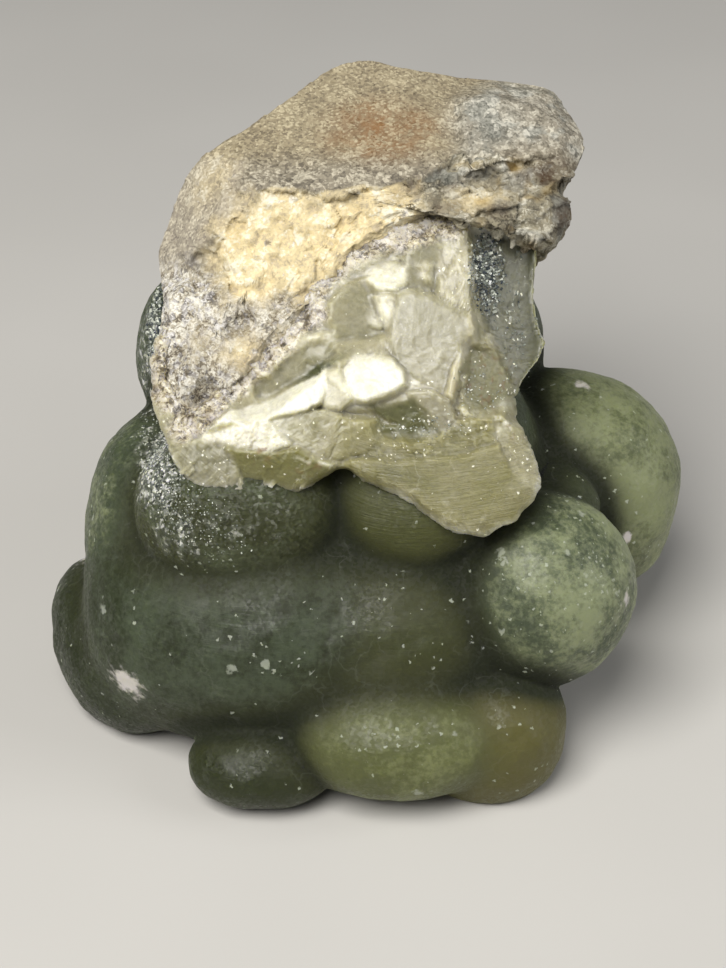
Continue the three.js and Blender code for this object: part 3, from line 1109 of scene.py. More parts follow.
@dataclass(frozen=True)
class Lobe:
    """One rounded lobe: where it is, its half-axes, its turn about Z in degrees and how it looks.

    soft is how widely it flows into its neighbours, in millimetres. boxy is 2 for a ball, and more for a
    squarer lobe.
    """

    name: str
    at: Triple
    radii: Triple
    turn: float = 0.0
    soft: float = 0.9
    boxy: float = 2.0
    light: float = 0.5
    yellow: float = 0.0
    brown: float = 0.0
    glint: float = 0.3
    fleck: float = 0.12
    fibrous: float = 0.15

    def turned(self, rows: Array, way: int) -> Array:
        """Turns points about Z by the lobe's turn.

        Args:
            rows: Points, one row each.
            way: 1 for forwards and -1 for back.

        Returns:
            The turned points.
        """
        angle = math.radians(self.turn) * way
        cosine, sine = math.cos(angle), math.sin(angle)
        x, y, z = rows.T
        return np.stack([x * cosine - y * sine, x * sine + y * cosine, z], axis=-1)

    def own(self, points: Array) -> Array:
        """Points as the lobe sees them: from its middle, in half-axes."""
        return self.turned(points - np.array(self.at), -1) / np.array(self.radii)

    def shell(self, cells: int) -> Pair:
        """The lobe's surface: a gridded box blown up to a ball, stretched, turned and moved.

        Args:
            cells: How many cells lie along each edge of the box.

        Returns:
            The points and the faces.
        """
        box, quads = gridded_box((cells, cells, cells))
        ways = np.tan(box * math.pi / 4)
        ways /= (np.abs(ways) ** self.boxy).sum(axis=1, keepdims=True) ** (1 / self.boxy)
        points = self.turned(ways * np.array(self.radii), 1) + np.array(self.at)
        points[:, 2] = np.maximum(points[:, 2], 0)
        return points, quads

    def reach(self, points: Array) -> Pair:
        """How far outside the lobe each point lies, in millimetres, and the way out.

        With q the place over the half-axes and k its size by the lobe's own power, the distance is (k - 1)
        over the length of k's slope.

        Args:
            points: Points, one row each.

        Returns:
            The distances and the ways out.
        """
        own = self.own(points)
        size = np.maximum((np.abs(own) ** self.boxy).sum(axis=1) ** (1 / self.boxy), 1e-6)
        slope = np.sign(own) * (np.abs(own) / size[:, None]) ** (self.boxy - 1) / np.array(self.radii)
        length = np.linalg.norm(slope, axis=1)
        return (size - 1) / length, self.turned(slope / length[:, None], 1)

    def threads(self, points: Array) -> Array:
        """Fibres that ring the lobe.

        Args:
            points: Points, one row each.

        Returns:
            Each point's place across and along the fibres, in millimetres.
        """
        x, y, z = self.own(points).T
        mean = sum(self.radii) / 3
        across = np.arctan2(z, np.hypot(x, y)) * mean
        return np.stack([across, np.arctan2(x, -y) * mean], axis=-1)


LOBES = (
    Lobe("belly", (-8.7, -6.6, 10.8), (17.6, 14, 13), soft=1.2, light=0.31, glint=0.2, fleck=0.06),
    Lobe("waist", (3.4, -7.2, 10.4), (13, 12.8, 11.8), soft=1.2, light=0.14, yellow=0.2, glint=0.12,
        fleck=0.07),
    Lobe("front_ball", (16, -9.4, 15.6), (9, 9, 9.2), soft=0.12, light=0.72, glint=0.25, fleck=0.3),
    Lobe("bud", (18.6, -2, 19.1), (3.8, 4, 3.8), soft=1.2, light=0.6),
    Lobe("left_toe", (-9.2, -20, 3.8), (6.8, 5.2, 4.1), soft=0.08, light=0, yellow=0.05),
    Lobe("middle_toe", (3.2, -19.4, 6.4), (10.2, 6.4, 5.6), light=0.64, yellow=0.48, fleck=0.06),
    Lobe("right_toe", (11.6, -16.2, 4.8), (7, 7.4, 6.8), soft=0.12, boxy=2.2, light=0.26, yellow=0.6,
        brown=0.36),
    Lobe("left_foot", (-23.4, -4.6, 5), (6.4, 11.4, 6.8), turn=25, soft=0.35, light=0.05),
    Lobe("left_shoulder", (-18.6, 0.9, 15.9), (8, 11, 10.4), soft=1.2, light=0.56, fleck=0.16),
    Lobe("left_lip", (-11, -6.9, 23.5), (9.9, 8.4, 7.6), soft=0.12, light=0.18, yellow=0.14, glint=0.7,
        fibrous=0.5),
    Lobe("right_lip", (4.8, -5.9, 23.3), (8.8, 7.8, 7), soft=0.2, light=0.2, yellow=0.4, fibrous=0.8),
    Lobe("right_wing", (22.4, 8.9, 14.4), (9, 10, 11), soft=0.4, boxy=2.1, light=0.85, yellow=0.2),
    Lobe("wing_crest", (19.5, 9, 18.4), (8.5, 9, 7.6), soft=0.4, light=0.85, yellow=0.2),
    Lobe("left_flank", (-14, 12, 28.2), (8, 8, 9.4), soft=0.8, light=0.4, glint=0.8),
    Lobe("heart", (0, 4, 16.4), (18, 16, 18.4), soft=1, light=0.4),
    Lobe("back_left", (-15, 16, 10), (10, 9, 11)),
    Lobe("back_middle", (1, 20, 9), (11, 8.5, 10.5), light=0.55),
    Lobe("back_right", (14, 17, 9.5), (9, 9, 10.5)),
    Lobe("right_heel", (16.5, 8, 6.2), (8, 10, 7.5), soft=1, light=0.45),
    Lobe("upper_back_left", (-9, 19, 26), (9, 9, 9)),
    Lobe("upper_back_right", (9, 18, 25.5), (9, 9, 9), light=0.55),
    Lobe("nape", (0, 21, 29), (9, 7.5, 7)),
    Lobe("right_flank", (9.4, 0.5, 24), (6.6, 9, 8), light=0.4),
)


@dataclass
class PrehniteLobes:
    """The grape-like mass of prehnite, as one skin."""

    effects: Effects
    voxel: float = 0.36
    shell_cells: int = 26
    crust_size: float = 1.1
    looks: tuple[str, ...] = ("light", "yellow", "brown", "glint", "fleck", "fibrous")
    lobes: tuple[Lobe, ...] = LOBES
    blooms: Spots = (
        Spot("foot_bloom", -21.6, -18.2, 2.2, 1.2, 0.85, -35),
        Spot("foot_top_bloom", -27.2, -7.2, 1.9, 0.9, 0.55, 35),
        Spot("ball_edge_bloom", 23.6, -10.6, 0.5, 1.9, 0.6, -20),
        Spot("wing_crystal", 25.4, -5.2, 0.5, 0.8, 0.95),
        Spot("wing_top_bloom", 21, 9.6, 1.3, 0.5, 0.7, -20),
    )
    # Painted light: brighter rims, edges and lower parts, where light shows through the lobes.
    glows: Spots = (
        Spot("ball_rim", 20.6, -12.6, 2.8, 5.4, 0.17, -35),
        Spot("ball_foot", 14.6, -18.4, 6, 2.4, 0.12),
        Spot("wing_low", 24.2, -2, 3.2, 3.6, 0.42, -20),
        Spot("lip_foot", -9.4, -8, 7, 2.2, 0.55),
        Spot("shoulder_edge", -25, -2, 1.4, 7, 0.12),
    )
    # Painted shade at the lip, the waist, the notch, the toe and the foot.
    dims: Spots = (
        Spot("lip_shade", -10, -4, 6, 2.6, 0.2),
        Spot("waist_shade", 4, -13, 7, 4.4, 0.2),
        Spot("notch_shade", 1.2, -4.8, 4.2, 3.2, 0.4),
        Spot("toe_shade", -9.4, -26.6, 5.6, 3, 0.2),
        Spot("foot_shade", -26, -11.6, 3, 5, 0.18),
    )
    # Painted sparkle on the lip and the flank.
    silver_sparkles: Spots = (
        Spot("lip_silver", -18.4, 0.8, 2.2, 4.2, 1, 15),
        Spot("lip_silver_low", -16.6, -4.6, 2.4, 2.4, 0.55, -30),
        Spot("flank_silver", -20.4, 13, 1.6, 7, 0.6),
        Spot("lip_silver_middle", -11, -4, 5, 1.8, 0.25),
    )
    # Pale flecks on the lobes' fronts: partly their own frosted crust, partly painted frosted highlights
    # where the light falls.
    frost_and_highlight_spots: Spots = (
        Spot("lip_frost", -18.6, 1.8, 2.4, 5.6, 0.95, 20),
        Spot("lip_frost_low", -15, -3.6, 4, 2.6, 0.6, -35),
        Spot("ball_frost", 15, -8.6, 3.4, 1.4, 0.75, -30),
        Spot("ball_frost_right", 20.6, -7.4, 2.2, 2.8, 0.7, 20),
        Spot("ball_frost_left", 8.4, -13.6, 2.6, 2.2, 0.45),
        Spot("belly_frost", -9.6, -14.6, 4.6, 2, 0.35, -20),
        Spot("waist_frost", 1.4, -10.6, 4, 2.6, 0.3),
        Spot("wing_frost", 23.6, -1.2, 2, 1.4, 0.5, -40),
        Spot("toe_frost", 1.6, -22.4, 7, 1.6, 0.4),
    )

    def build(self) -> Piece:
        """Joins the lobes into one skin, lets them flow together and roughens them.

        Each point then moves along its normal by slow swells and by a crystal crust's fine grain.

        Returns:
            The dressed piece.
        """
        skin = one_skin("lobes_draft", [lobe.shell(self.shell_cells) for lobe in self.lobes], self.voxel)
        points, _, faces = arrays_of(skin)
        bpy.data.meshes.remove(skin)
        points, normals, depths, crease = self.melt(points)
        grain, _, _ = shatter(points, self.crust_size, 5)
        relief = 0.5 * swell(points, 7.0, 3, 1) + 0.16 * swell(points, 2.6, 3, 7) + 0.04 * grain
        standing = smooth_step(points[:, 2], 0.0, 0.8)
        points = points + normals * (relief * standing)[:, None]
        points[:, 2] = np.maximum(points[:, 2], 0)
        made = make_piece("prehnite_lobes", points, faces, self.marks(points, normals, depths, crease))
        owner = np.argmin(depths, axis=0)
        threads = np.stack([lobe.threads(points) for lobe in self.lobes])[owner, np.arange(len(points))]
        lay_fibres(made, threads[:, 0], threads[:, 1])
        made.data.materials.append(LobeFinish().material(self.effects))
        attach(made, "root")
        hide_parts("prehnite")
        return made

    def marks(
        self, points: Array, normals: Array, depths: Array, crease: Array
    ) -> Marks:
        """The finish's marks: each lobe's looks, blended by distance, and the spots of the front.

        The light mark carries painted shade in the creases, and painted light and shade from the glows and
        dims on faces turned to the front. The frost spots are partly painted frosted highlights, and the
        silver spots paint sparkle.

        Args:
            points: The skin's points.
            normals: Their outward normals.
            depths: Each lobe's distance to each point.
            crease: How deep in a crease each point is.

        Returns:
            One value per point for each mark's name.
        """
        share = np.exp(-(depths - depths.min(axis=0)) / 0.55)
        share /= share.sum(axis=0)
        marks = {
            key: (share * np.array([getattr(lobe, key) for lobe in self.lobes])[:, None]).sum(axis=0)
            for key in self.looks
        }
        u, v, n = to_face(points)
        facing = smooth_step(to_face(points + normals)[2] - n, -0.15, 0.2)
        patchy = 0.8 + 0.7 * swell(points, 2.0, 4, 9)
        # Painted shade: the light mark is lowered in the creases.
        marks["light"] -= 0.34 * crease
        # Painted light and shade on faces turned to the front: the glows raise the light mark, the dims lower
        # it.
        marks["light"] += facing * (spotted(self.glows, u, v) * patchy - spotted(self.dims, u, v))
        # The creases turn yellower with their painted shade.
        marks["yellow"] += 0.2 * crease
        marks["fibrous"] *= 1 - crease
        # The frost spots add flecks on the front, partly painted frosted highlights.
        marks["fleck"] = marks["fleck"] + facing * spotted(self.frost_and_highlight_spots, u, v) - 0.1 * crease
        marks["glint"] -= 0.3 * crease
        # The crease mark lays the near-black crease tint: painted shade.
        marks["crease"] = crease
        marks["bloom"] = facing * spotted(self.blooms, u, v)
        # Painted sparkle, on faces turned to the front.
        marks["silver_sparkle"] = facing * spotted(self.silver_sparkles, u, v)
        return marks

    def melt(self, points: Array) -> tuple[Array, Array, Array, Array]:
        """Moves the joined skin onto a softened union of the lobes.

        With d each lobe's distance and s the softness, the softened surface is where -s * log(sum(exp(-d /
        s))) is 0. Points step to it along its slope. s is the mean of the near lobes' own softness.

        Args:
            points: Points of the plain union.

        Returns:
            The moved points, their outward normals, each lobe's distance to each point, and how deep in a
            crease each point is, which is how much the near lobes' ways out disagree.
        """
        softness = np.array([lobe.soft for lobe in self.lobes])[:, None]
        for _ in range(4):
            depths, ways = (np.stack(part) for part in zip(*(lobe.reach(points) for lobe in self.lobes)))
            nearest = depths.min(axis=0)
            near = np.exp(-(depths - nearest) / 1.5)
            soft = np.exp((near * np.log(softness)).sum(axis=0) / near.sum(axis=0))
            share = np.exp(-(depths - nearest) / soft)
            total = share.sum(axis=0)
            slope = np.einsum("ln,lnk->nk", share / total, ways)
            length = np.maximum(np.linalg.norm(slope, axis=1), 0.35)
            step = np.clip((nearest - soft * np.log(total)) / length, -1.5, 1.5)
            normals = slope / length[:, None]
            standing = smooth_step(points[:, 2], -0.01, 0.6)
            points = points - normals * (step * standing)[:, None]
            points[:, 2] = np.maximum(points[:, 2], 0)
        near = np.exp(-(depths - depths.min(axis=0)) / 1.5)
        agreed = np.linalg.norm(np.einsum("ln,lnk->nk", near / near.sum(axis=0), ways), axis=1)
        return points, normals, depths, smooth_step(1 - agreed, 0.02, 0.3)


@dataclass(frozen=True)
class Crystal(Facet):
    """A crystal or a hollow of the broken face: a drawn flat, how steeply it ends and how it looks."""

    milk: float = 0.0
    olive: float = 0.0
    deep: float = 0.0
    grey: float = 0.0
    smooth: float = 0.85
    fleck: float = 0.04
    steep: float = 4.0
    soft: float = 0.3
    fade: tuple[float, float] = (0.0, 0.0)

    def shown(self, u: Array, v: Array) -> Marks:
        """The crystal's looks, with a milkiness that fades along it.

        Args:
            u: Across the face.
            v: Up the face.

        Returns:
            One value per place for each look.
        """
        away_u, away_v = self.away(u, v)
        looks = {key: np.full_like(u, getattr(self, key)) for key in BARE_LOOKS}
        looks["milk"] = looks["milk"] + self.fade[0] * away_u + self.fade[1] * away_v
        return looks


SLAB_OUTLINE: Corners = (
    (-19, 8.4), (-17.7, 4.4), (-16.1, 0.8), (-13.7, -0.5), (-11.4, -1.3), (-9, -0.4), (-5.6, -0.7),
    (-2.2, 1.2), (0.2, 0.2), (3.3, -1), (6, -3), (8.2, -4.2), (10.6, -4.4), (13.1, -3.2), (15.1, -1.4),
    (15.6, 0.8), (14.7, 3.9), (13.7, 6.4), (14, 8.8), (15.9, 11.8), (15.8, 14), (15.4, 17), (15, 24),
    (9, 28), (-2, 27), (-10, 24), (-15, 18), (-18.5, 13),
)
ROCK_OUTLINE: Corners = (
    (-18.9, 9), (-15.8, 4.9), (-13, 6.5), (-10, 10), (-6.5, 12.5), (-4.5, 16), (-1.5, 19.5), (3, 22),
    (9, 23.6), (13.5, 22.4), (16.9, 21.4), (18.8, 23.7), (19.1, 25.3), (18.2, 26.7), (19.4, 28.6),
    (20.4, 31.4), (19.2, 34.8), (16.9, 37.4), (9.8, 38.2), (3.4, 39), (0.4, 39.8), (-3, 38.9), (-6.7, 35.8),
    (-10.4, 32.9), (-14.5, 30.1), (-16.8, 27), (-18.1, 23.3), (-18.8, 20.7), (-18.1, 16.9), (-18.3, 13.2),
)
CRYSTALS = (
    Crystal("face_base", ((-4, 6.4), (-3.6, 10.4), (-2.6, 12.4), (1, 12.6), (2.4, 13), (2.8, 16), (4, 17),
        (9.6, 15), (9.4, 12), (7.8, 8), (7.4, 6.2), (4.2, 5.4), (1.2, 6.6)), (12.7, 0.04, 0.02), milk=0.25,
        olive=0.1, grey=0.15, smooth=0.9, steep=2, soft=0.5),
    Crystal("hollow_upper", ((-9.1, 10.1), (-7.5, 11.9), (-5.7, 12.9), (-3.7, 13.6), (-3, 12.8), (-5.7, 12),
        (-7.1, 10.6), (-8.2, 9.3)), (12, 0.1, 0.1), milk=0.4, olive=0.1, smooth=0.8, soft=0.6),
    Crystal("upper_crystal", ((3.5, 19.9), (4.2, 21.6), (6, 22.3), (7.1, 21.4), (6.9, 18.8), (6.6, 17.1),
        (4, 17.2), (3.7, 18)), (12.4, -0.15, 0.15), milk=0.02, olive=0.2, grey=0.4, fleck=0.12, soft=0.4),
    Crystal("upper_shard", ((4.8, 19.4), (5.5, 19.9), (6.2, 19.6), (6, 17.8), (5.3, 18)),
        (12.45, 0.1, -0.05), milk=0.2, olive=0.1, smooth=0.5, fleck=0.15, soft=0.4),
    Crystal("lavender_strip", ((6.6, 21), (7.5, 23), (9.4, 22.6), (9.8, 19.9), (9.3, 17.4), (9.6, 15.4),
        (7.8, 16), (6.7, 16.9)), (12.5, 0.15, -0.1), milk=0.25, grey=0.15, smooth=0.35, fleck=0.3, steep=2),
    Crystal("white_shard", ((0.2, 18.2), (0.8, 19.3), (2.2, 19.9), (4, 19.4), (3.7, 18), (2.8, 17.2),
        (1.3, 17.2)), (12.6, 0.1, -0.25), milk=0.75, smooth=0.2, steep=2, soft=0.5),
    Crystal("dark_crystal", ((-3, 16.1), (-1.7, 17.6), (0.1, 18.6), (1.2, 17.2), (1.8, 15.4), (2.2, 13.7),
        (1.3, 12.8), (-0.1, 12.8), (-2.3, 12.9), (-3.2, 14.5)), (12.1, -0.3, 0.12), milk=-0.05, olive=0.35,
        grey=0.26, smooth=0.97, fade=(0.02, -0.05)),
    Crystal("streak_gap", ((2.2, 16.9), (3.3, 16.9), (3.7, 16), (3.3, 14.2), (2.8, 15.4)), (12.8, -0.3, 0),
        milk=0.05, olive=0.1, smooth=0.95),
    Crystal("streak", ((1, 16.7), (2, 17.1), (3, 15.4), (3.5, 13.4), (2.8, 12.9), (1.9, 14.4)),
        (12.9, 0.2, 0), milk=0.5),
    Crystal("glassy_face", ((3.3, 16.9), (4.4, 17.1), (6.2, 16.5), (8, 15.7), (10.3, 14.7), (10, 12.8),
        (8.9, 11), (8, 8.8), (7.6, 7.4), (6.4, 8.3), (4.4, 9.3), (2.8, 10.8), (2.2, 12.5), (2.4, 14.3)),
        (13.2, 0.04, 0.06), milk=0.03, olive=0.08, grey=0.37, smooth=0.96, fleck=0.05, fade=(-0.03, 0.02)),
    Crystal("glassy_edge", ((9.1, 15.1), (10.7, 14.7), (10.2, 12.6), (8.5, 9.9), (7.8, 7.4), (7.3, 7.9),
        (7.8, 10.1), (8.9, 12.4), (9.4, 13.8)), (13.4, -0.35, 0), milk=0.3, smooth=0.9, soft=0.2),
    Crystal("grey_wedge", ((3.9, 8.1), (6, 8.3), (7.5, 7.4), (8, 5.6), (6.4, 3.8), (5.1, 5.4), (4.4, 6.8)),
        (12.8, 0.15, 0.4), milk=0.05, grey=0.4, fleck=0.2),
    Crystal("block_roof", ((-3.1, 11), (-2.1, 12.4), (-0.8, 13), (1.1, 12.7), (2.3, 11.1), (0.8, 11.7),
        (-1, 11.1), (-2.1, 10.2)), (13, 0.05, -0.65), milk=0.12, olive=0.1, grey=0.1, smooth=0.92,
        soft=0.15),
    Crystal("block_shoulder", ((-3.5, 9.7), (-2.1, 10.2), (-1.5, 8.6), (-1, 7.4), (-2.1, 6.5), (-3.3, 6.6),
        (-4, 7.2)), (13.6, 0.25, 0.1), milk=0.3, olive=0.1, smooth=0.92, soft=0.2),
    Crystal("white_block", ((-1.8, 10.1), (-0.9, 11.1), (1.4, 11.4), (2.6, 11), (3.5, 9.9), (3.6, 8.8),
        (2.7, 8.1), (0.4, 7.2), (-0.8, 7.3), (-1.4, 8.4)), (13.8, 0.16, -0.1), milk=0.6, smooth=0.9,
        fleck=0),
    Crystal("block_front", ((-1.6, 8.8), (0.4, 9.2), (2.2, 8.9), (3.5, 9), (3.4, 8.4), (2.1, 7.8),
        (0.3, 7.2), (-1.1, 7.4)), (13.7, 0.1, 0.4), milk=0.66, fleck=0, soft=0.6),
    Crystal("pale_ridge", ((-13.6, 4.8), (-11.5, 6.5), (-8.8, 7.1), (-7.1, 8), (-5.7, 8.9), (-3.1, 10.1),
        (-3.3, 8.6), (-3.7, 7.1), (-4.8, 6.5), (-6.7, 6.1), (-8.8, 5.7), (-11.2, 5.4)), (13.6, 0.06, -0.15),
        milk=0.8, fleck=0, steep=5, soft=0.2),
    Crystal("ridge_end", ((-14.6, 5.7), (-13.3, 5), (-11, 5.4), (-8.5, 5.6), (-6.6, 3.5), (-7.8, 2.9),
        (-10.1, 3.1), (-12.3, 3.4), (-14.2, 4)), (12.7, 0.12, 0.1), milk=0.7, smooth=0.4, fleck=0.3, steep=2,
        soft=0.9),
    Crystal("lower_left_face", ((-8.8, 5.7), (-6.7, 6.2), (-4.8, 6.5), (-3, 6.5), (-1.9, 6.1), (-2.1, 4),
        (-3, 2.3), (-4.8, 2.2), (-6.4, 3.4)), (12.8, 0.04, 0.2), milk=0.16, olive=0.42, grey=0.12,
        smooth=0.8, fleck=0.12, soft=0.6, fade=(-0.09, -0.02)),
    Crystal("lower_green_face", ((-2.1, 6.1), (-1, 5.7), (1.1, 5.6), (1.7, 4.3), (0.3, 2.8), (-1.5, 2),
        (-3, 2.2), (-2.2, 4)), (12.7, -0.06, 0.25), olive=0.8, fleck=0.15, soft=0.8),
    Crystal("sparkly_shelf", ((1.3, 4.7), (3.7, 4.8), (6, 4), (8.3, 5.4), (11.2, 5.9), (11.8, 3.4),
        (8.7, 2.5), (5.1, 2), (2, 2), (-1, 2), (0.3, 2.9)), (12.3, 0.02, 0.15), olive=0.75, deep=0.1,
        smooth=0.45, fleck=0.3, steep=2, soft=0.6),
    Crystal("right_strip", ((11.4, 6.3), (12.7, 7.2), (13.6, 6.8), (14.3, 4.7), (15.3, 2.6), (15.5, 0.4),
        (14.8, -0.5), (12.8, 1.3), (11.8, 3.4)), (12.5, 0.08, -0.12), milk=0.1, olive=0.4, grey=0.15,
        smooth=0.7, fleck=0.18, soft=0.5),
    Crystal("left_skirt", ((-16.6, 3.4), (-14.2, 3.8), (-11.8, 3.2), (-11, 1.3), (-10.5, -0.4),
        (-11.2, -1.3), (-13.3, -0.9), (-15.5, 0.4), (-16.4, 1.6)), (12.1, 0.12, 0.15), milk=-0.02, olive=0.4,
        grey=0.44, smooth=0.6, fleck=0.1, steep=2, soft=0.5),
    Crystal("middle_skirt", ((-11.8, 3.1), (-7.8, 2.8), (-5.7, 2.9), (-2.6, 1.6), (-1.6, 1.3), (-3.9, -0.2),
        (-6.4, -0.5), (-9.1, -0.2), (-10.5, -0.4), (-11, 1.4)), (12.3, 0.05, 0.5), olive=1, deep=0.35,
        steep=2, soft=0.5),
    Crystal("fibrous_skirt", ((-2.1, 1.4), (-1, 2), (5.1, 2), (8.7, 2.5), (11.8, 3.4), (13, 1.3), (15, -0.5),
        (15.7, -1.4), (14.8, -2.9), (12.8, -3.4), (9.6, -4.3), (6.9, -3.1), (3.7, -0.7), (0.6, 0.2)),
        (12.7, 0.02, 0.02), olive=0.75, deep=0.06, smooth=0.93, fleck=0.03, steep=2, soft=0.6,
        fade=(0.01, -0.02)),
)
# The hollows' deep marks paint shade, most of all in the green recess under the white block.
HOLLOWS = (
    Crystal("hollow_middle", ((-9.5, 9), (-8.2, 9.3), (-6.9, 10.8), (-5.7, 12), (-4, 12.7), (-2.7, 12.4),
        (-2.4, 11.6), (-4.8, 9.6), (-6.6, 8.8), (-8.2, 7.8), (-9.2, 7.8)), (11.2, 0.12, 0.4), milk=-0.04,
        olive=0.35, grey=0.34, smooth=0.93, steep=2.5, soft=0.35),
    Crystal("hollow_left", ((-11.6, 10), (-10.6, 10.6), (-9.5, 10.2), (-9.1, 8.8), (-10.4, 8.5),
        (-11.4, 8.9)), (11.8, -0.15, -0.25), milk=0.2, olive=0.15, smooth=0.9, steep=2, soft=0.4),
    Crystal("hollow_low", ((-12.9, 8.9), (-11.2, 8.9), (-9.3, 8.2), (-9.1, 7.1), (-10.6, 6.6), (-12.3, 7.3)),
        (11.3, -0.2, 0.35), milk=0.1, olive=0.1, grey=0.12, smooth=0.9, steep=2, soft=0.4),
    # deep=0.75: painted shade in the recess under the white block.
    Crystal("green_recess", ((0.9, 6.7), (2.6, 6.9), (4.3, 7.4), (5.6, 6.2), (6.6, 4.6), (4.4, 4),
        (1.6, 4.4)), (12, 0.05, 0.35), milk=-0.05, olive=0.85, deep=0.75, smooth=0.8, fleck=0.1, steep=1.6,
        soft=0.5, fade=(0.08, -0.12)),
    Crystal("glassy_side", ((10.3, 14.5), (11, 13.8), (10.5, 11.9), (9.6, 9.5), (9.1, 7.2), (8, 5.7),
        (7.9, 7.4), (8.7, 9.9), (10, 12.6)), (12.2, -0.8, 0), milk=0.05, olive=0.5, deep=0.1, grey=0.2,
        smooth=0.8, fleck=0.1, steep=3),
    Crystal("olive_side", ((9.6, 11.9), (13.2, 12), (14.1, 9.3), (13.4, 7.2), (11.4, 6.6), (9.6, 6.5),
        (8.9, 7.2), (9.4, 9.5)), (10.6, -0.4, -0.1), olive=0.7, deep=0.25, grey=0.35, smooth=0.7, fleck=0.15,
        steep=2, soft=0.8),
    Crystal("column_side", ((9.8, 22.6), (10.8, 14.6), (12, 12), (13.4, 9.6), (13.6, 6.6), (20, 8),
        (20, 22)), (8.4, -0.5, 0), milk=0.02, olive=0.6, grey=0.85, smooth=0.6, fleck=0.08, steep=2,
        soft=0.5),
)


@dataclass
class Relief:
    """The broken face while it is worked out: its places, plain and moved, its height and its looks."""

    u: Array
    v: Array
    flat: Array
    warped: Pair
    stained: Pair
    hackle: Array
    height: Array
    smooth: Array
    marks: Marks
    blend: float = 0.16

    def stand(self, crystal: Crystal, way: int) -> None:
        """Raises a crystal out of the face, or sinks a hollow into it.

        The new height is the greater of the old one and the crystal's flat, or the lesser of it and the
        hollow's, rounded where they meet. Away from the flat's corners the edge falls steeply. The looks
        follow with a border that is as soft as the crystal says.

        Args:
            crystal: The crystal or the hollow.
            way: 1 to raise, and -1 to sink.
        """
        into = inside(*self.warped, crystal.corners)
        level = crystal.plane(*self.warped) + 0.25 * (1 - crystal.smooth) * self.hackle
        edge = 0.5 * (into - np.sqrt(into**2 + 0.02))
        ahead = way * (level - self.height)
        lead = ahead + crystal.steep * edge
        share = np.clip(0.5 + 0.5 * lead / self.blend, 0, 1)
        self.height = self.height + way * (share * lead + self.blend * share * (1 - share))
        stained = inside(*self.stained, crystal.corners)
        share = smooth_step(stained, -crystal.soft, crystal.soft) * smooth_step(ahead, -0.7, 0.0)
        for key, value in crystal.shown(self.u, self.v).items():
            self.marks[key] = self.marks[key] + share * (value - self.marks[key])
        # Pale rims just inside each smooth crystal's edge: partly the whiter broken edges, partly painted
        # highlight along them.
        self.marks["milk"] += 0.08 * share * np.exp(-np.maximum(stained, 0) / 0.8) * crystal.smooth
        self.smooth = self.smooth + share * (crystal.smooth - self.smooth)


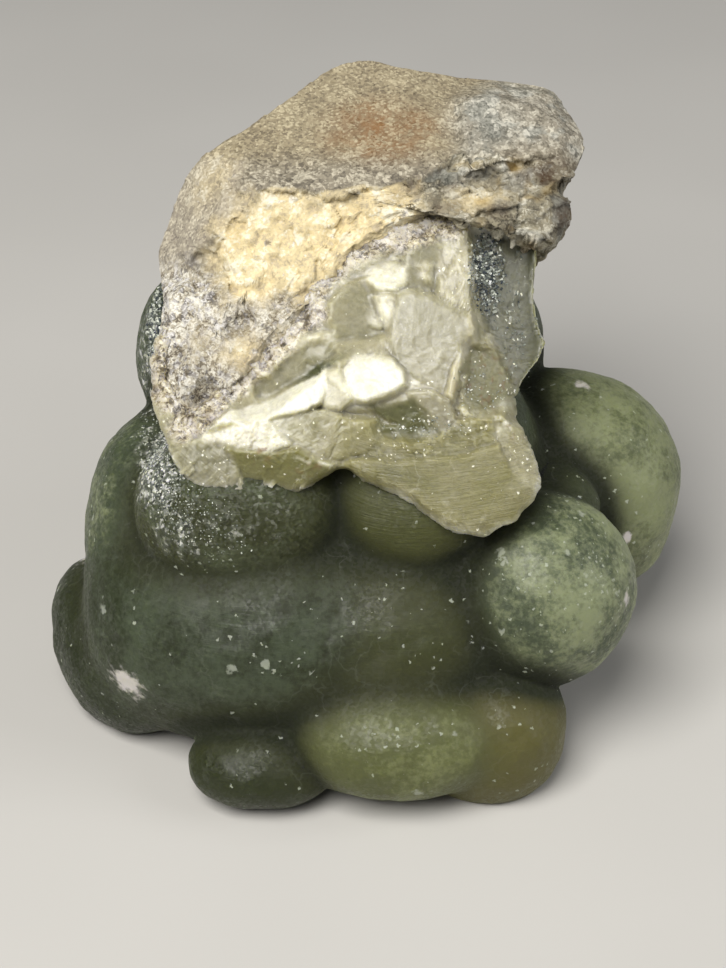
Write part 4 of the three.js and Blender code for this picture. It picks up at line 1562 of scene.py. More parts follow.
@dataclass
class BrokenFace:
    """The slab of broken prehnite: drawn crystals stand out of a hackly face with a fibrous skirt."""

    effects: Effects
    outline: Corners = SLAB_OUTLINE
    centre: tuple[float, float] = (-1, 10)
    front: float = 11.8
    rim: float = 8.6
    back: float = -6.0
    boxiness: float = 9.0
    cells: tuple[int, int, int] = (190, 190, 16)
    fibre_centre: tuple[float, float] = (6, 26)
    fibre_turn: float = 25.0
    crystals: tuple[Crystal, ...] = CRYSTALS
    hollows: tuple[Crystal, ...] = HOLLOWS
    rusts: Spots = (
        Spot("skirt_rust", -8.4, 3.2, 1.6, 1.2, 0.8),
        Spot("skirt_rust_right", -4.6, 1.4, 1.6, 0.8, 0.6),
        Spot("column_rust", 10.8, 9.2, 2.2, 2.4, 0.8),
        Spot("strip_rust", 13.6, 5.4, 1.2, 1.4, 0.5),
    )
    druses: Spots = (
        Spot("steel_druse", 11.1, 19.2, 1.8, 3.6, 1.1),
        Spot("column_druse", 14, 15, 2.2, 5, 0.3),
        Spot("skirt_sparkle", -13, 4, 3, 1.6, 0.3),
        Spot("right_sparkle", 8, 5, 3.4, 1.2, 0.6, -15),
    )
    crumbs: Spots = (
        Spot("left_margin", -17.2, 11, 2.4, 4.4, 1.3),
        Spot("left_corner", -14.2, 6.6, 2.4, 1.6, 1.5, -30),
        Spot("ridge_foot", -11.6, 4.4, 2.6, 1.2, 0.6, -15),
        Spot("top_margin", 4.4, 23.6, 4, 1.6, 1.4, 10),
        Spot("shard_margin", -1.6, 18.8, 1.8, 1.2, 0.8, 30),
    )
    veils: Spots = (
        Spot("upper_left_veil", 4, 14.6, 0.9, 0.16, 0.5, 10),
        Spot("upper_right_veil", 6.6, 14.2, 1.1, 0.12, 0.35, 15),
        Spot("long_veil", 6.2, 10.8, 2.6, 0.14, 0.4, 52),
        Spot("low_veil", 4.9, 9, 1.4, 0.2, 0.45, 35),
        Spot("edge_veil", 7.3, 9.9, 1.2, 0.16, 0.6, 62),
        Spot("side_veil", 8.9, 9.4, 0.8, 0.13, 0.7, 75),
        Spot("column_veil", 10.4, 11.6, 0.9, 0.14, 0.55, 12),
        Spot("strip_veil", 12.8, 5.4, 1.6, 0.14, 0.4, 50),
        Spot("lip_veil", 4.9, -2.5, 3, 0.35, 0.5, -36),
        Spot("skirt_veil", 6.9, -1.4, 1.3, 0.4, 0.45, -10),
        Spot("strip_milk", 12.5, 5.4, 0.9, 1.4, 0.4),
        Spot("shelf_veil", -4.2, 1.9, 3.2, 0.16, 0.6, -8),
        Spot("shelf_veil_right", 2.2, 3, 3.4, 0.2, 0.3, 4),
    )
    # Painted shadows, laid into the deep mark.
    shadows: Spots = (
        Spot("ridge_shadow", -4, 10.1, 2.3, 0.45, 1.2, 28),
        Spot("block_shadow", 0.6, 6.9, 1.6, 0.25, 0.4, 5),
        Spot("skirt_top", 5, 1.6, 4.6, 1, 0.15),
        Spot("skirt_dark", 3.2, 0.7, 3.4, 1.1, 0.3, -14),
    )
    # Painted glints: white patches laid into the fleck mark.
    glints: Spots = (
        Spot("wedge_white", 5.2, 8.6, 1.4, 1, 0.5, 40),
        Spot("ridge_end_white", -12, 3, 2.6, 1.4, 0.45),
        Spot("skirt_white", 11.4, 0.7, 0.7, 1, 0.6),
        Spot("strip_white", 14, 1.6, 0.8, 1.8, 0.35),
        Spot("shelf_white", -1, 2.4, 2.6, 0.5, 0.4),
        Spot("middle_white", 6.2, 5.2, 2.6, 1.4, 0.3),
    )

    def build(self) -> Piece:
        """Builds the slab.

        A gridded box is mapped to the outline: a point at share r of the way out, on a spoke at turn t, lies
        at centre + r * (outline(t) - centre), and its depth goes from the rim to the relief's height by the
        superellipse (1 - r^p)^(1/p).

        Returns:
            The dressed piece.
        """
        box, quads = gridded_box(self.cells)
        x, y, z = box.T
        square = np.maximum(np.abs(x), np.abs(y))
        round_off = (square**self.boxiness + np.abs(z) ** self.boxiness) ** (1 / self.boxiness)
        spoke = curve_round(self.outline, turn_around(x, y)) - np.array(self.centre)
        place = np.array(self.centre) + spoke * (square / round_off)[:, None]
        flat = laid_flat(place[:, 0], place[:, 1])
        ragged = 0.4 * swell(flat, 2.6, 4, 31) + 0.22 * ripple(flat, 1.0, 33)
        ragged = ragged * smooth_step(square / round_off, 0.85, 1.0)
        length = np.maximum(np.linalg.norm(spoke, axis=1, keepdims=True), 1e-9)
        place = place + spoke / length * ragged[:, None]
        u, v = place.T
        share = np.abs(z) / round_off
        relief = self.relief(u, v)
        top = relief.height - self.rim
        n = np.where(z > 0, self.rim + top * share, self.rim - (self.rim - self.back) * share)
        points = from_face(u, v, n)
        normals = normals_of(points, quads)
        hackle, _, _ = shatter(points, 1.3, 41)
        finer, _, _ = shatter(points, 0.6, 47)
        rough = (1 - relief.smooth) * (0.22 * hackle + 0.12 * finer) + 0.03 * hackle + 0.015 * finer
        points = points + normals * rough[:, None]
        made = make_piece("prehnite_broken_face", points, quads, relief.marks)
        away, turn = self.round_fibres(u, v)
        lay_fibres(made, away, turn * self.fibre_turn)
        made.data.materials.append(BreakFinish().material(self.effects))
        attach(made, "root")
        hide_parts("prehnite")
        return made

    def round_fibres(self, u: Array, v: Array) -> Pair:
        """Each place's distance from the point that the fibres ring, and its turn about it."""
        du, dv = u - self.fibre_centre[0], v - self.fibre_centre[1]
        return np.hypot(du, dv), np.arctan2(dv, du)

    def relief(self, u: Array, v: Array) -> Relief:
        """The face's height and looks: a hackly base with every crystal raised, and then every hollow sunk.

        Under the host rock the face sinks away.

        Args:
            u: Across the face.
            v: Up the face.

        Returns:
            The finished relief.
        """
        flat = laid_flat(u, v)
        chip, _, chip_tone = shatter(flat, 0.9, 59)
        hackle, _, tone = shatter(flat, 2.2, 57)
        contact = inside(u, v, ROCK_OUTLINE)
        left = smooth_step(-u, 6.0, 10.0)
        relief = Relief(
            u=u, v=v, flat=flat, hackle=hackle,
            warped=wander(u, v, 0.16, 1.8, 3, (51, 53)),
            stained=wander(u, v, 0.34, 1.4, 4, (55, 65)),
            height=self.front + 0.5 * hackle + (0.3 - 0.9 * left) * np.exp(-((contact / 1.5) ** 2)),
            smooth=np.full_like(u, 0.45),
            marks={key: np.full_like(u, value) for key, value in BARE_LOOKS.items()},
        )
        marks = relief.marks
        marks["milk"] += 0.4 * (tone - 0.5)
        for crystal in self.crystals:
            relief.stand(crystal, 1)
        for hollow in self.hollows:
            relief.stand(hollow, -1)
        marks["milk"] += 0.1 * (1 - relief.smooth) * (chip_tone - 0.5)
        self.stain(relief)
        waves = 0.08 * swell(flat, 2.8, 3, 61)
        relief.height = relief.height + waves + (0.04 + 0.1 * (1 - relief.smooth)) * chip
        relief.height -= 4.5 * smooth_step(contact, 0.9, 1.9)
        self.spread_fibres(relief)
        verge = np.exp(-((contact / 1.4) ** 2)) * smooth_step(swell(flat, 1.6, 3, 73), -0.5, 0.4)
        marks["milk"] += 0.2 * verge
        marks["glint"] = np.maximum(marks["glint"], 0.45 * verge)
        marks["fleck"] += 0.2 * verge
        crumbs = smooth_step(contact + 1.5 * swell(flat, 2.2, 4, 75), -1.5, -0.1)
        crumbs = crumbs * smooth_step(-u, -10.5, -8.0)
        heaps = spotted(self.crumbs, *relief.warped) * (0.5 + 0.9 * swell(flat, 1.5, 3, 77))
        marks["crumb"] = np.clip(1.3 * np.maximum(crumbs, heaps), 0, 1)
        relief.smooth = relief.smooth * (1 - 0.8 * np.maximum(verge, marks["crumb"]))
        return relief

    def stain(self, relief: Relief) -> None:
        """Adds uneven tones, veils, painted shadows, druse, painted white glints and rust.

        Args:
            relief: The face, whose marks are changed.
        """
        flat, marks = relief.flat, relief.marks
        marks["milk"] = marks["milk"] + 0.13 * swell(flat, 1.3, 4, 63) + 0.08 * swell(flat, 3.6, 2, 66)
        marks["milk"] += spotted(self.veils, *relief.stained) * smooth_step(ripple(flat, 0.6, 68), -0.5, 0.5)
        marks["olive"] = np.clip(marks["olive"] + 0.25 * swell(flat, 2.4, 3, 67), 0, 1)
        marks["grey"] = np.clip(marks["grey"] + 0.14 * swell(flat, 1.7, 3, 69), 0, 1)
        # Painted shadows darken the deep mark.
        marks["deep"] = np.clip(marks["deep"] + spotted(self.shadows, *relief.stained), 0, 1)
        druse = spotted(self.druses, relief.u, relief.v)
        marks["glint"] = druse + 0.3 * (1 - relief.smooth)
        marks["grey"] = np.maximum(marks["grey"], np.clip(druse - 0.3, 0, 1))
        # Painted glints whiten the flecks.
        marks["fleck"] += spotted(self.glints, relief.u, relief.v)
        rusts = spotted(self.rusts, relief.u, relief.v)
        marks["brown"] = rusts * smooth_step(ripple(flat, 0.34, 71), 0.3, 0.75)

    def spread_fibres(self, relief: Relief) -> None:
        """Marks the fibrous skirt, with its painted silky sheen streaks and its pale lip, and painted shade
        along the slab's right edge above it.

        Args:
            relief: The face, whose marks are changed.
        """
        u, v, marks = relief.u, relief.v, relief.marks
        skirt = smooth_step(-v, -5.5, -2.5)
        marks["fibrous"] = np.clip(0.8 * skirt * smooth_step(u, -3.0, 0.5) + 0.3 * skirt + 0.08, 0, 1)
        away, turn = self.round_fibres(u, v)
        # Painted sheen: silky bands that run along the fibres.
        painted_sheen = swell(laid_flat(away, turn * 5), 0.8, 4, 72)
        marks["milk"] += (0.2 * painted_sheen + 0.14 * swell(relief.flat, 2.4, 3, 74)) * marks["fibrous"]
        border = smooth_step(-inside(u, v, self.outline), -0.5, 0.1)
        # Painted shade along the slab's right edge, above the skirt.
        marks["deep"] = np.clip(marks["deep"] + 0.5 * border * (1 - skirt) * smooth_step(u, 9, 12), 0, 1)
        # The skirt's pale lip: partly a whitish torn edge, partly painted light where the thin edge lets
        # light through.
        marks["milk"] += 0.3 * (border * skirt)


@dataclass(frozen=True)
class Break:
    """A flat break across the host rock: a point on it and the way it faces, in u, v and n."""

    name: str
    at: Triple
    facing: Triple

    def height(self, u: Array, v: Array) -> Array:
        """The plane's n over each u and v."""
        (au, av, an), (fu, fv, fn) = self.at, self.facing
        return an - (fu * (u - au) + fv * (v - av)) / fn


@dataclass(frozen=True)
class Ledge(Facet):
    """A ledge or a bite of the host rock, with a flat top or floor, and how steeply it ends."""

    steep: float = 3.0


LEDGES = (
    Ledge("long_ledge", ((2.6, 24.6), (6, 27), (10, 29), (13, 29.4), (17.6, 29), (17.6, 28.2), (12, 27.6),
        (8.4, 26), (4.4, 23.6)), (12.7, -0.14, -0.3)),
    Ledge("middle_ledge", ((3, 23.4), (6, 24.6), (9, 26), (13, 27.4), (17.4, 27.6), (17, 26.2), (12.6, 26),
        (9, 24.6), (5, 22.8)), (12.1, -0.16, -0.3)),
    Ledge("bottom_ledge", ((4, 22.4), (8, 24), (12, 25.6), (16.8, 26), (16.6, 24.6), (13, 24.4), (9, 23.2)),
        (11.7, -0.12, -0.3)),
    Ledge("nose", ((9, 34.6), (12, 35.8), (16, 34.8), (18.4, 32), (17.8, 29.4), (12, 28.8), (9.4, 31)),
        (9.3, -0.12, -0.55), steep=1.2),
    Ledge("left_plate", ((-17.2, 17), (-17.4, 10), (-15.8, 6.4), (-13.4, 7.4), (-8, 12.6), (-7.4, 18),
        (-12, 20)), (11.3, 0.1, 0.08), steep=2),
)
BITES = (
    Ledge("cream_face", ((-9, 26), (-1.8, 25.4), (3.2, 27), (4.6, 24.2), (2.4, 21.4), (-3, 17), (-8, 15.6),
        (-12, 17.4), (-12.6, 22)), (12.4, 0.04, 0.15)),
    Ledge("upper_pit", ((-15.6, 19.6), (-14.8, 20.6), (-13.4, 20), (-13.2, 18.6), (-14.8, 18)),
        (9.8, 0.1, 0), steep=1.2),
    Ledge("side_pit", ((-11.8, 14), (-11, 15), (-10, 14.2), (-10.6, 12.6), (-11.6, 12.8)), (11, 0.1, 0),
        steep=1.2),
    Ledge("lower_pit", ((-14.8, 7), (-14, 8.2), (-12.8, 7.4), (-12.8, 6), (-14.2, 5.8)), (9.6, 0.1, 0),
        steep=1.5),
    Ledge("nose_groove", ((10.6, 27.4), (13.6, 28.6), (17.4, 29.8), (18.4, 28.9), (17.6, 27.9), (14.4, 27.4),
        (11.4, 26.8)), (10.3, -0.14, -0.2), steep=1.4),
)


@dataclass
class HostRock:
    """The cap of host rock: a weathered top, a cream break under it, and ledges on the right."""

    effects: Effects
    centre: tuple[float, float] = (-2, 26)
    front: float = 14.0
    rim: float = 5.0
    back: float = -9.0
    boxiness: float = 3.4
    contact_boxiness: float = 14.0
    contact_turn: float = 0.32
    contact_level: float = 10.9
    bedding: float = math.radians(25)
    bed_thickness: float = 1.9
    far_out: float = 99.0
    cells: tuple[int, int, int] = (160, 160, 44)
    breaks: tuple[Break, ...] = (
        Break("weathered_top", (-2, 27, 13.2), (-0.04, 0.58, 0.8)),
        Break("rusty_hump", (6, 33, 9.2), (0.22, 0.62, 0.74)),
        Break("left_slope", (-12, 29, 11), (-0.4, 0.55, 0.7)),
        Break("left_face", (-15.5, 22, 9.6), (-0.75, 0.1, 0.62)),
        Break("speckled_face", (-12, 13, 12.0), (-0.12, -0.05, 1.0)),
    )
    back_slope: Break = Break("back_slope", (0, 36, -3), (0, 0.75, -0.65))
    ledges: tuple[Ledge, ...] = LEDGES
    bites: tuple[Ledge, ...] = BITES
    crust_edge: Corners = (
        (-9.8, 30.3), (-5.7, 33.9), (0.2, 40), (7, 39), (16, 39), (21, 34), (20, 28.6), (13, 29.4),
        (8, 29.2), (5.2, 27.2), (2.9, 26.7), (-1.6, 26), (-9.2, 26.2), (-10.7, 28.9),
    )
    cream_edge: Corners = (
        (-9, 26), (-1.6, 25.6), (3.3, 27.2), (4.9, 24.2), (3, 21.6), (-1.5, 18.2), (-5.5, 16.4),
        (-11.9, 16.9), (-13.2, 20.9), (-11.4, 24),
    )
    band_edge: Corners = (
        (-14.3, 29.8), (-10.7, 29), (-11.5, 24.4), (-13.4, 21.2), (-14.7, 16.6), (-19, 16.6), (-19, 23),
        (-17, 27),
    )
    nose_edge: Corners = (
        (7.6, 33.2), (9.6, 36.2), (14, 38), (22, 36), (22, 29), (14, 29.6), (9, 29.4),
    )
    creams: Spots = (
        Spot("low_cream", -10.4, 11.6, 2.2, 1.8, 0.8),
        Spot("high_cream", -13.4, 27.4, 1.6, 2.8, 0.5, -30),
        Spot("low_cream_right", -6.6, 13.2, 1.6, 1.2, 0.55),
        Spot("left_cream", -14.6, 12.6, 1.2, 1.8, 0.4),
        Spot("ledge_cream", 10.2, 25.6, 2.6, 1.1, 0.8, 15),
        Spot("nose_cream", 14.6, 29.6, 1.8, 0.7, 0.4, -15),
    )
    pales: Spots = (
        Spot("pale_rim", 14, 23.6, 3.2, 1, 0.9, -12),
        Spot("pale_block", 5.6, 23.4, 2.4, 1, 0.8, 15),
    )
    # Dark spots: partly brown and grey stains, partly painted shade in crevices and the ledge crack.
    holes: Spots = (
        Spot("brown_upper", -15.2, 20.2, 1.6, 0.9, 0.7, -35),
        Spot("brown_edge", -13.4, 21.6, 0.5, 0.8, 0.7),
        Spot("brown_low", -14, 9.4, 0.9, 0.4, 0.7, -20),
        Spot("brown_lowest", -15.6, 8, 0.5, 0.8, 0.8),
        Spot("cream_grey", -7.2, 22.8, 0.7, 0.5, 0.35),
        Spot("cream_grey_top", -1.3, 25.8, 0.5, 0.4, 0.5),
        Spot("ledge_grey", 11.2, 26.9, 1.6, 0.8, 0.3, 25),
        Spot("ledge_crack", 11, 27.9, 2, 0.3, 0.8, 35),
        Spot("grey_low", -15.4, 10.6, 2.6, 2.4, 0.35),
        Spot("grey_contact", -4.6, 17.6, 1.8, 0.9, 0.3, 35),
    )
    # nose_underside paints the shade under the nose's overhang; the other spots add brown.
    umber_and_shade_spots: Spots = (
        Spot("nose_underside", 16.8, 28.2, 2.6, 1.3, 1.1, 20),
        Spot("ledge_brown", 11.8, 28.9, 2.2, 0.7, 0.55, 20),
        Spot("ledge_brown_low", 7.4, 24.6, 1.8, 0.5, 0.5, 28),
        Spot("right_brown", 18.2, 24.2, 1.2, 2.4, 0.8),
        Spot("grey_hollow", 12.4, 24.2, 1, 0.6, 0.6),
        Spot("crust_foot", 3.6, 26.2, 2.4, 0.6, 0.6, 35),
        Spot("middle_brown", 8.2, 26.6, 1.8, 0.45, 0.7, 30),
    )
    cools: Spots = (
        Spot("ledge_cool", 12.4, 27, 2.2, 0.7, 1, 15),
        Spot("left_cool", 4.4, 25, 2.4, 0.9, 0.7, 32),
        Spot("nose_cool", 11.4, 32.6, 2.6, 2.2, 0.8),
        Spot("nose_cool_low", 9.6, 30.4, 1.6, 1, 0.6),
    )
    ochres: Spots = (
        Spot("cream_seam", -1.4, 18.3, 2.6, 0.5, 0.85, 42),
        Spot("left_ochre", -11.4, 22, 1, 1.6, 0.35),
        Spot("right_ochre", -2, 22.4, 2.4, 1.2, 0.25),
        Spot("ledge_ochre", 13.7, 28.6, 0.8, 0.6, 0.8),
        Spot("ledge_ochre_low", 10.6, 25.2, 0.7, 0.5, 0.6),
    )

    def build(self) -> Piece:
        """Builds the rock.

        The gridded box is mapped to the outline as the slab's is, with a squarer edge where it meets the
        prehnite. The front is then cut by the breaks, raised by the ledges and lowered by the bites, and the
        whole skin moves along its normals by noise.

        Returns:
            The dressed piece.
        """
        box, quads = gridded_box(self.cells)
        x, y, z = box.T
        turn = turn_around(x, y)
        last = -self.contact_turn
        meets = smooth_step(turn, 0.0, 0.03) * smooth_step(-turn, last - 0.03, last)
        power = self.boxiness + (self.contact_boxiness - self.boxiness) * meets
        square = np.maximum(np.abs(x), np.abs(y))
        round_off = (square**power + np.abs(z) ** power) ** (1 / power)
        rim = curve_round(ROCK_OUTLINE, turn)
        ragged = 0.45 * swell(laid_flat(rim[:, 0], rim[:, 1]), 2.0, 4, 79) * meets
        spoke = (rim - np.array(self.centre)) * (1 + ragged / 12)[:, None]
        u, v = (np.array(self.centre) + spoke * (square / round_off)[:, None]).T
        share = z / round_off
        n = self.rim + np.where(z > 0, self.front - self.rim, self.rim - self.back) * share
        into = 12 * (1 - square / round_off)
        right = smooth_step(u, 8.5, 11.5)
        low = self.contact_level + (0.7 + 1.0 * right) * into - 2.5 * right
        low = np.where(meets > 0.5, low, self.far_out)
        under = self.carved(u, v, np.full_like(u, self.far_out)) - 0.02
        behind = np.minimum(np.maximum(n, self.back_slope.height(u, v)), under)
        points = from_face(u, v, np.where(z > 0, np.minimum(self.carved(u, v, n), low), behind))
        zones = self.zones(u, v)
        edge = smooth_step(square, 0.9, 1.0)
        zones["verge"] = edge * meets
        rough = self.roughness(points, u, v, zones) * (1 - 0.6 * (edge * (1 - meets)))
        points = points + normals_of(points, quads) * rough[:, None]
        mottled = smooth_step(swell(points, 2.6, 4, 98), -0.4, 0.4)
        zones["tone"] = zones["ledge"] * (0.5 * zones["block"] + 0.5 * mottled)
        made = make_piece("host_rock_cap", points, quads, self.marks(u, v, zones))
        made.data.materials.append(RockFinish().material(self.effects))
        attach(made, "root")
        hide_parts("host_rock")
        return made

    def roughness(self, points: Array, u: Array, v: Array, zones: Marks) -> Array:
        """How far each point stands out: slow lumps, hackly steps and fine grain, each stronger in its own
        zones.

        The ledges are bedded as well: with b the place across the beds, in beds, each bed leans by 0.5 - b %
        1. The blocks' random tones and the beds' joints are added to the zones.

        Args:
            points: The rock's points.
            u: Across the face.
            v: Up the face.
            zones: The rock's zones by name.

        Returns:
            The distances, in millimetres.
        """
        lumps = swell(points, 5.0, 3, 81)
        steps, _, _ = shatter(points, 1.5, 83)
        chips, _, _ = shatter(points, 0.7, 87)
        crust, ledge, speckle = zones["crust"], zones["ledge"], np.maximum(zones["speckle"], zones["ledge"])
        rough = 0.35 * lumps + (0.3 - 0.24 * crust - 0.15 * zones["speckle"]) * steps
        rough += (0.1 - 0.05 * crust) * chips
        loose = zones["speckle"] * (1 - ledge)
        grains = 0.15 * steps + 0.2 * chips - 0.12 * smooth_step(ripple(points, 1.1, 91), 0.3, 0.8)
        rough += (speckle - 0.5 * loose) * grains
        rough += 0.14 * zones["nose"] * chips + 0.04 * swell(points, 0.6, 2, 93)
        rough += zones["cream"] * (0.12 * steps + 0.12 * chips)
        blocks, _, block_tone = shatter(points, 2.6, 89)
        rough += ledge * 0.4 * blocks
        bed = (v * math.cos(self.bedding) - u * math.sin(self.bedding)) / self.bed_thickness
        bed = bed + 0.5 * lumps + 0.25 * swell(points, 2.2, 3, 94)
        rough += 1.0 * ledge * (0.5 - bed % 1.0) * smooth_step(swell(points, 3.0, 2, 96), -0.6, 0.3)
        zones["block"] = block_tone
        zones["bed"] = smooth_step(bed % 1.0, 0.72, 0.98)
        return rough

    def carved(self, u: Array, v: Array, n: Array) -> Array:
        """The front's height.

        It is the least of the block and its breaks, then the greatest of that and the ledges, then the least
        of that and the bites, each with a border that wanders by noise.

        Args:
            u: Across the face.
            v: Up the face.
            n: The block's height.

        Returns:
            The height over each place.
        """
        wu, wv = wander(u, v, 0.6, 2.6, 3, (95, 97))
        height = n
        for plane in self.breaks:
            height = np.minimum(height, plane.height(wu, wv))
        for ledge in self.ledges:
            top = ledge.plane(wu, wv) + ledge.steep * np.minimum(inside(wu, wv, ledge.corners), 0)
            height = np.maximum(height, top)
        for bite in self.bites:
            floor = bite.plane(wu, wv) + bite.steep * np.maximum(-inside(wu, wv, bite.corners), 0)
            height = np.minimum(height, floor)
        return height

    def zones(self, u: Array, v: Array) -> Marks:
        """The rock's zones, with borders that wander by noise.

        Args:
            u: Across the face.
            v: Up the face.

        Returns:
            How far each place lies in each named zone, from 0 to 1.
        """
        flat = laid_flat(u, v)
        wu, wv = wander(u, v, 0.6, 2.0, 3, (101, 103))
        crust = smooth_step(inside(wu, wv, self.crust_edge), -0.15, 0.15)
        into = inside(wu, wv, self.cream_edge) + 2.0 * swell(flat, 1.6, 5, 105)
        cream = np.maximum(smooth_step(into, -2.2, 1.2), spotted(self.creams, wu, wv)) * (1 - crust)
        bare = (1 - crust) * (1 - cream)
        return {
            "crust": crust,
            "cream": cream,
            "nose": smooth_step(inside(wu, wv, self.nose_edge), -2.0, 1.8),
            "band": smooth_step(inside(wu, wv, self.band_edge), -0.4, 0.6) * bare,
            "speckle": np.maximum(smooth_step(-wv, -21.5, -18.0), spotted(self.pales, wu, wv)) * bare,
            "ledge": smooth_step(wu, 2.0, 4.0) * smooth_step(wv, 17.0, 19.0) * bare,
        }

    def marks(self, u: Array, v: Array, zones: Marks) -> Marks:
        """The finish's marks: the zones, and rust, cool and umber tints, ochre seams, crumbs and dark pits.

        The umber also paints the shade under the nose. The dark mark paints shade in the pits, the cracks and
        at the ledges' feet, besides dark specks and spots.

        Args:
            u: Across the face.
            v: Up the face.
            zones: The rock's zones by name.

        Returns:
            One value per point for each mark's name.
        """
        flat = laid_flat(u, v)
        patchy = smooth_step(swell(flat, 2.4, 3, 111), -0.5, 0.3)
        patch = np.exp(-((((u - 1.6) / 5.0) ** 2 + ((v - 32.2) / 3.2) ** 2) ** 2))
        vein = np.exp(-((swell(flat, 3.4, 3, 113) / 0.08) ** 2)) * zones["ledge"]
        ochre = np.maximum(0.3 * vein, spotted(self.ochres, u, v))
        # Painted shade in the pits and the groove under the nose.
        pits = np.max([smooth_step(inside(u, v, bite.corners), -0.6, 0.3) for bite in self.bites[1:]], axis=0)
        speckled = np.maximum(zones["speckle"], 0.7 * zones["ledge"])
        specks = smooth_step(ripple(flat, 0.7, 117), 0.5, 0.8) * speckled
        # Painted shade at the foot of each ledge step, along the beds' joints.
        seams = zones["bed"] * zones["ledge"] * smooth_step(ripple(flat, 1.3, 119), -0.4, 0.4)
        spots = smooth_step(swell(flat, 0.9, 2, 121), 0.42, 0.6) * zones["cream"]
        holes = spotted(self.holes, u, v) * smooth_step(ripple(flat, 0.5, 125), -0.5, 0.6)
        return {key: zones[key] for key in ("cream", "band", "speckle", "nose", "ledge", "tone")} | {
            "low": smooth_step(-v, -31.0, -27.5),
            "cool": spotted(self.cools, u, v) * smooth_step(swell(flat, 1.5, 4, 131), -0.8, 0.1),
            "rust": 0.95 * patch * (0.45 + 0.55 * patchy),
            "umber_and_shade": spotted(self.umber_and_shade_spots, u, v) * smooth_step(ripple(flat, 1.1, 129), -0.9, 0.3),
            "ochre": ochre * smooth_step(ripple(flat, 0.8, 123), -0.6, 0.5),
            "verge": zones["verge"] * smooth_step(swell(flat, 1.4, 3, 127), -0.4, 0.4),
            "dark": np.max([0.2 * pits, 0.25 * specks, 0.7 * seams, 0.3 * spots, holes], axis=0),
        }


@dataclass(frozen=True)
class Patch:
    """A patch of tiny crystals: on which piece and where, how many, how big and how bright, and how mixed."""

    host: str
    spot: Spot
    count: int
    size: float
    tone: float
    spread: float


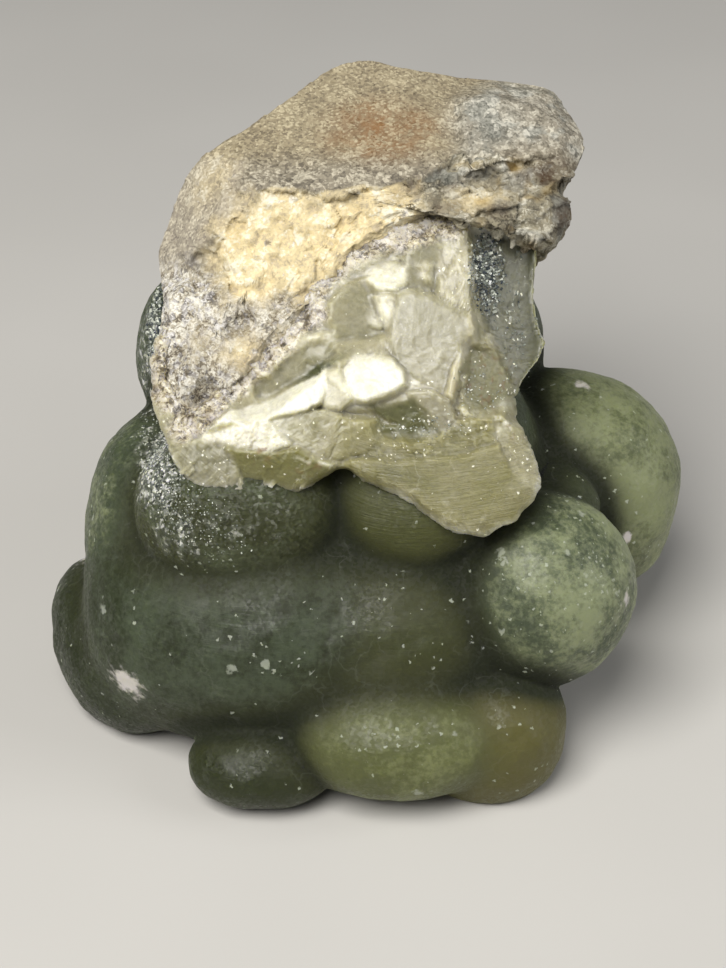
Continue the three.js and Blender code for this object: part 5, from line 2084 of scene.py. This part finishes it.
@dataclass
class Druse:
    """Tiny crystals that stand on the stone in patches."""

    effects: Effects
    seed: int = 11
    tilt: float = 0.35
    stretches: tuple[tuple[float, float], ...] = ((0.6, 1.3), (0.35, 0.8), (0.5, 1.0))
    corners: tuple[tuple[int, int, int], ...] = (
        (-1, -1, -1), (1, -1, -1), (1, 1, -1), (-1, 1, -1), (-1, -1, 1), (1, -1, 1), (1, 1, 1), (-1, 1, 1),
    )
    sides: tuple[tuple[int, int, int, int], ...] = (
        (3, 2, 1, 0), (4, 5, 6, 7), (0, 1, 5, 4), (1, 2, 6, 5), (2, 3, 7, 6), (3, 0, 4, 7),
    )
    patches: tuple[Patch, ...] = (
        Patch("prehnite_broken_face", Spot("steel", 11.1, 19.2, 1.3, 3.1, 1), 520, 0.3, 0.36, 0.7),
        Patch("prehnite_broken_face", Spot("column", 14, 15.5, 1.6, 4.6, 1), 100, 0.2, 0.5, 0.4),
        Patch("prehnite_broken_face", Spot("column_foot", 10.4, 8.6, 2.4, 1.6, 1), 45, 0.2, 0.7, 0.3),
        Patch("prehnite_broken_face", Spot("middle", 5.6, 5, 3, 1, 1), 60, 0.17, 0.7, 0.3),
        Patch("prehnite_lobes", Spot("lip", -18.2, 2.2, 1.8, 4.6, 1, 18), 560, 0.17, 0.62, 0.5),
        Patch("prehnite_lobes", Spot("lip_low", -14.6, -3.2, 4.2, 2.2, 1, -35), 300, 0.13, 0.6, 0.5),
        Patch("prehnite_lobes", Spot("flank", -19.8, 15, 1, 6, 1), 300, 0.32, 0.45, 0.9),
    )

    def build(self, hosts: dict[str, Piece]) -> Piece:
        """Stands the crystals on their hosts.

        Each crystal is a small box with a slanted, narrower top, stretched, turned about its host's normal
        and tilted a little, with a part of it sunk in.

        Args:
            hosts: The pieces that carry the crystals, by name.

        Returns:
            The dressed piece.
        """
        chance = np.random.default_rng(self.seed)
        blocks, tones = [], []
        for patch in self.patches:
            points, normals = self.places(hosts[patch.host], patch, chance)
            blocks.append(self.crystals(points, normals, patch.size, chance))
            tone = np.clip(chance.normal(patch.tone, patch.spread * 0.5, len(points)), 0, 1)
            tones.append(np.repeat(tone, len(self.corners)))
        points = np.concatenate(blocks)
        firsts = np.arange(0, len(points), len(self.corners))
        quads = (np.array(self.sides)[None] + firsts[:, None, None]).reshape(-1, 4)
        made = make_piece("druse_crystals", points, quads, {"tone": np.concatenate(tones)}, smooth=False)
        made.data.materials.append(DruseFinish().material(self.effects))
        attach(made, "root")
        return made

    @staticmethod
    def places(host: Piece, patch: Patch, chance: np.random.Generator) -> Pair:
        """Picks places on a host: the chance of each point is the patch's strength there, on the face's
        side.

        Args:
            host: The piece that carries the crystals.
            patch: Where they stand, and how many.
            chance: The source of random numbers.

        Returns:
            The places and their normals.
        """
        points, normals, _ = arrays_of(host.data)
        u, v, n = to_face(points)
        outward = normals[:, 2] * math.sin(FACE_LEAN) - normals[:, 1] * math.cos(FACE_LEAN)
        weight = patch.spot.over(u, v) * (outward > 0.05) * (n > -2)
        weight = np.where(weight > 0.15, weight, 0)
        picked = chance.choice(len(points), size=patch.count, p=weight / weight.sum())
        return points[picked], normals[picked]

    def crystals(
        self, points: Array, normals: Array, size: float, chance: np.random.Generator
    ) -> Array:
        """Draws one crystal at each place.

        Args:
            points: The places.
            normals: Their normals.
            size: How big the crystals are, in millimetres.
            chance: The source of random numbers.

        Returns:
            The crystals' corners, as rows.
        """
        count = len(points)
        shape = np.repeat(np.array(self.corners, dtype=float)[None], count, axis=0)
        shape[:, 4:, :2] *= chance.uniform(0.45, 0.9, (count, 1, 1))
        shape[:, 4:, 2] += chance.uniform(-0.5, 0.5, (count, 1)) * shape[:, 4:, 0]
        stretch = np.stack([chance.uniform(*ends, count) for ends in self.stretches], axis=-1)
        shape = shape * stretch[:, None, :] * 0.5 * size * chance.uniform(0.6, 1.3, (count, 1, 1))
        up = normals + chance.normal(0, self.tilt, (count, 3))
        up /= np.linalg.norm(up, axis=1, keepdims=True)
        side = np.cross(up, chance.normal(0, 1, (count, 3)))
        side /= np.linalg.norm(side, axis=1, keepdims=True)
        turn = np.stack([side, np.cross(up, side), up], axis=1)
        return (np.einsum("nck,nkj->ncj", shape, turn) + points[:, None, :]).reshape(-1, 3)


# ---- The studio


class Tone(Enum):
    """The plain tones of the studio."""

    FLOOR = 0xBCBAB6
    FLOOR_PALE = 0xC0BEBA
    AIR = 0xF2F4F6


@dataclass(frozen=True)
class SoftLight:
    """A soft square lamp: where it hangs, how wide and strong it is, and its colour."""

    name: str
    at: Triple
    wide: float
    watts: float
    warmth: Triple = (1.0, 1.0, 1.0)

    def hang(self) -> None:
        """Hangs the lamp, turned towards the specimen."""
        lamp = bpy.data.lights.new(self.name, "AREA")
        lamp.size = self.wide
        lamp.energy = self.watts
        lamp.color = self.warmth
        made = bpy.data.objects.new(self.name, lamp)
        made.location = self.at
        made.rotation_mode = "QUATERNION"
        made.rotation_quaternion = (LAMP_TARGET - Vector(self.at)).to_track_quat("-Z", "Y")
        bpy.context.scene.collection.objects.link(made)


@dataclass
class Studio:
    """A pale floor, soft lamps and the camera."""

    distance: float = 0.210
    focal_pixels: float = 2205.0
    picture_height: float = 968.0
    sensor: float = 36.0
    nearest: float = 0.005
    farthest: float = 10.0
    air_strength: float = 0.11
    floor_half: float = 2.0
    lamps: tuple[SoftLight, ...] = (
        SoftLight("key_lamp", (-0.14, -0.24, 0.42), 0.3, 3.3, (1.0, 0.98, 0.94)),
        SoftLight("side_lamp", (0.36, -0.08, 0.24), 0.25, 0.6),
    )

    def build(self) -> None:
        """Lays the floor, hangs the lamps and sets the camera."""
        self.lay_floor()
        for lamp in self.lamps:
            lamp.hang()
        self.fill_air()
        self.set_camera()

    def lay_floor(self) -> None:
        """A flat pale floor at height 0, with a very faint unevenness of tone."""
        mesh = bpy.data.meshes.new("floor")
        half = self.floor_half
        corners = [(-half, -half, 0), (half, -half, 0), (half, half, 0), (-half, half, 0)]
        mesh.from_pydata(corners, [], [(0, 1, 2, 3)])
        floor = bpy.data.objects.new("floor", mesh)
        bpy.context.scene.collection.objects.link(floor)
        nodes = Surface("floor")
        tone = nodes.mix(nodes.noise(60.0, 2.0).rise(0.3, 0.7), Tone.FLOOR.value, Tone.FLOOR_PALE.value)
        mesh.materials.append(nodes.finish({"Base Color": tone, "Roughness": 0.9}))

    def fill_air(self) -> None:
        """Even light from all round."""
        world = bpy.data.worlds.new("air")
        world.use_nodes = True
        air = world.node_tree.nodes["Background"]
        air.inputs["Color"].default_value = shade(Tone.AIR.value)
        air.inputs["Strength"].default_value = self.air_strength
        bpy.context.scene.world = world
        bpy.context.scene.view_settings.view_transform = "Standard"

    def set_camera(self) -> None:
        """Sets the camera straight in front of the leaning face, looking down at it by the face's lean."""
        ahead = Vector((0, math.cos(FACE_LEAN), -math.sin(FACE_LEAN)))
        up = Vector((0, math.sin(FACE_LEAN), math.cos(FACE_LEAN)))
        right = Vector((1, 0, 0))
        target = Vector((0, FACE_Y, FACE_Z)) * MM - Vector(BASE_CENTRE) * MM
        lens = bpy.data.cameras.new("camera")
        lens.sensor_width = self.sensor
        lens.lens = self.focal_pixels * self.sensor / self.picture_height
        lens.clip_start = self.nearest
        lens.clip_end = self.farthest
        camera = bpy.data.objects.new("camera", lens)
        turn = Matrix((right, up, -ahead)).transposed().to_4x4()
        camera.matrix_world = Matrix.Translation(target - ahead * self.distance) @ turn
        bpy.context.scene.collection.objects.link(camera)
        bpy.context.scene.camera = camera


def main() -> None:
    """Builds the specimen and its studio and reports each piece."""
    logging.basicConfig(level=logging.INFO, format="%(name)s: %(message)s")
    Studio().build()
    groups = (glitter_group, fleck_group, cloud_group, fibre_group, crumble_group, vein_group)
    effects = Effects(*(make_group() for make_group in groups))
    made = [part.build() for part in (PrehniteLobes(effects), BrokenFace(effects), HostRock(effects))]
    made.append(Druse(effects).build({piece.name: piece for piece in made}))
    for piece in made:
        LOG.info("%s: %d faces", piece.name, len(piece.data.polygons))


if __name__ == "__main__":
    main()
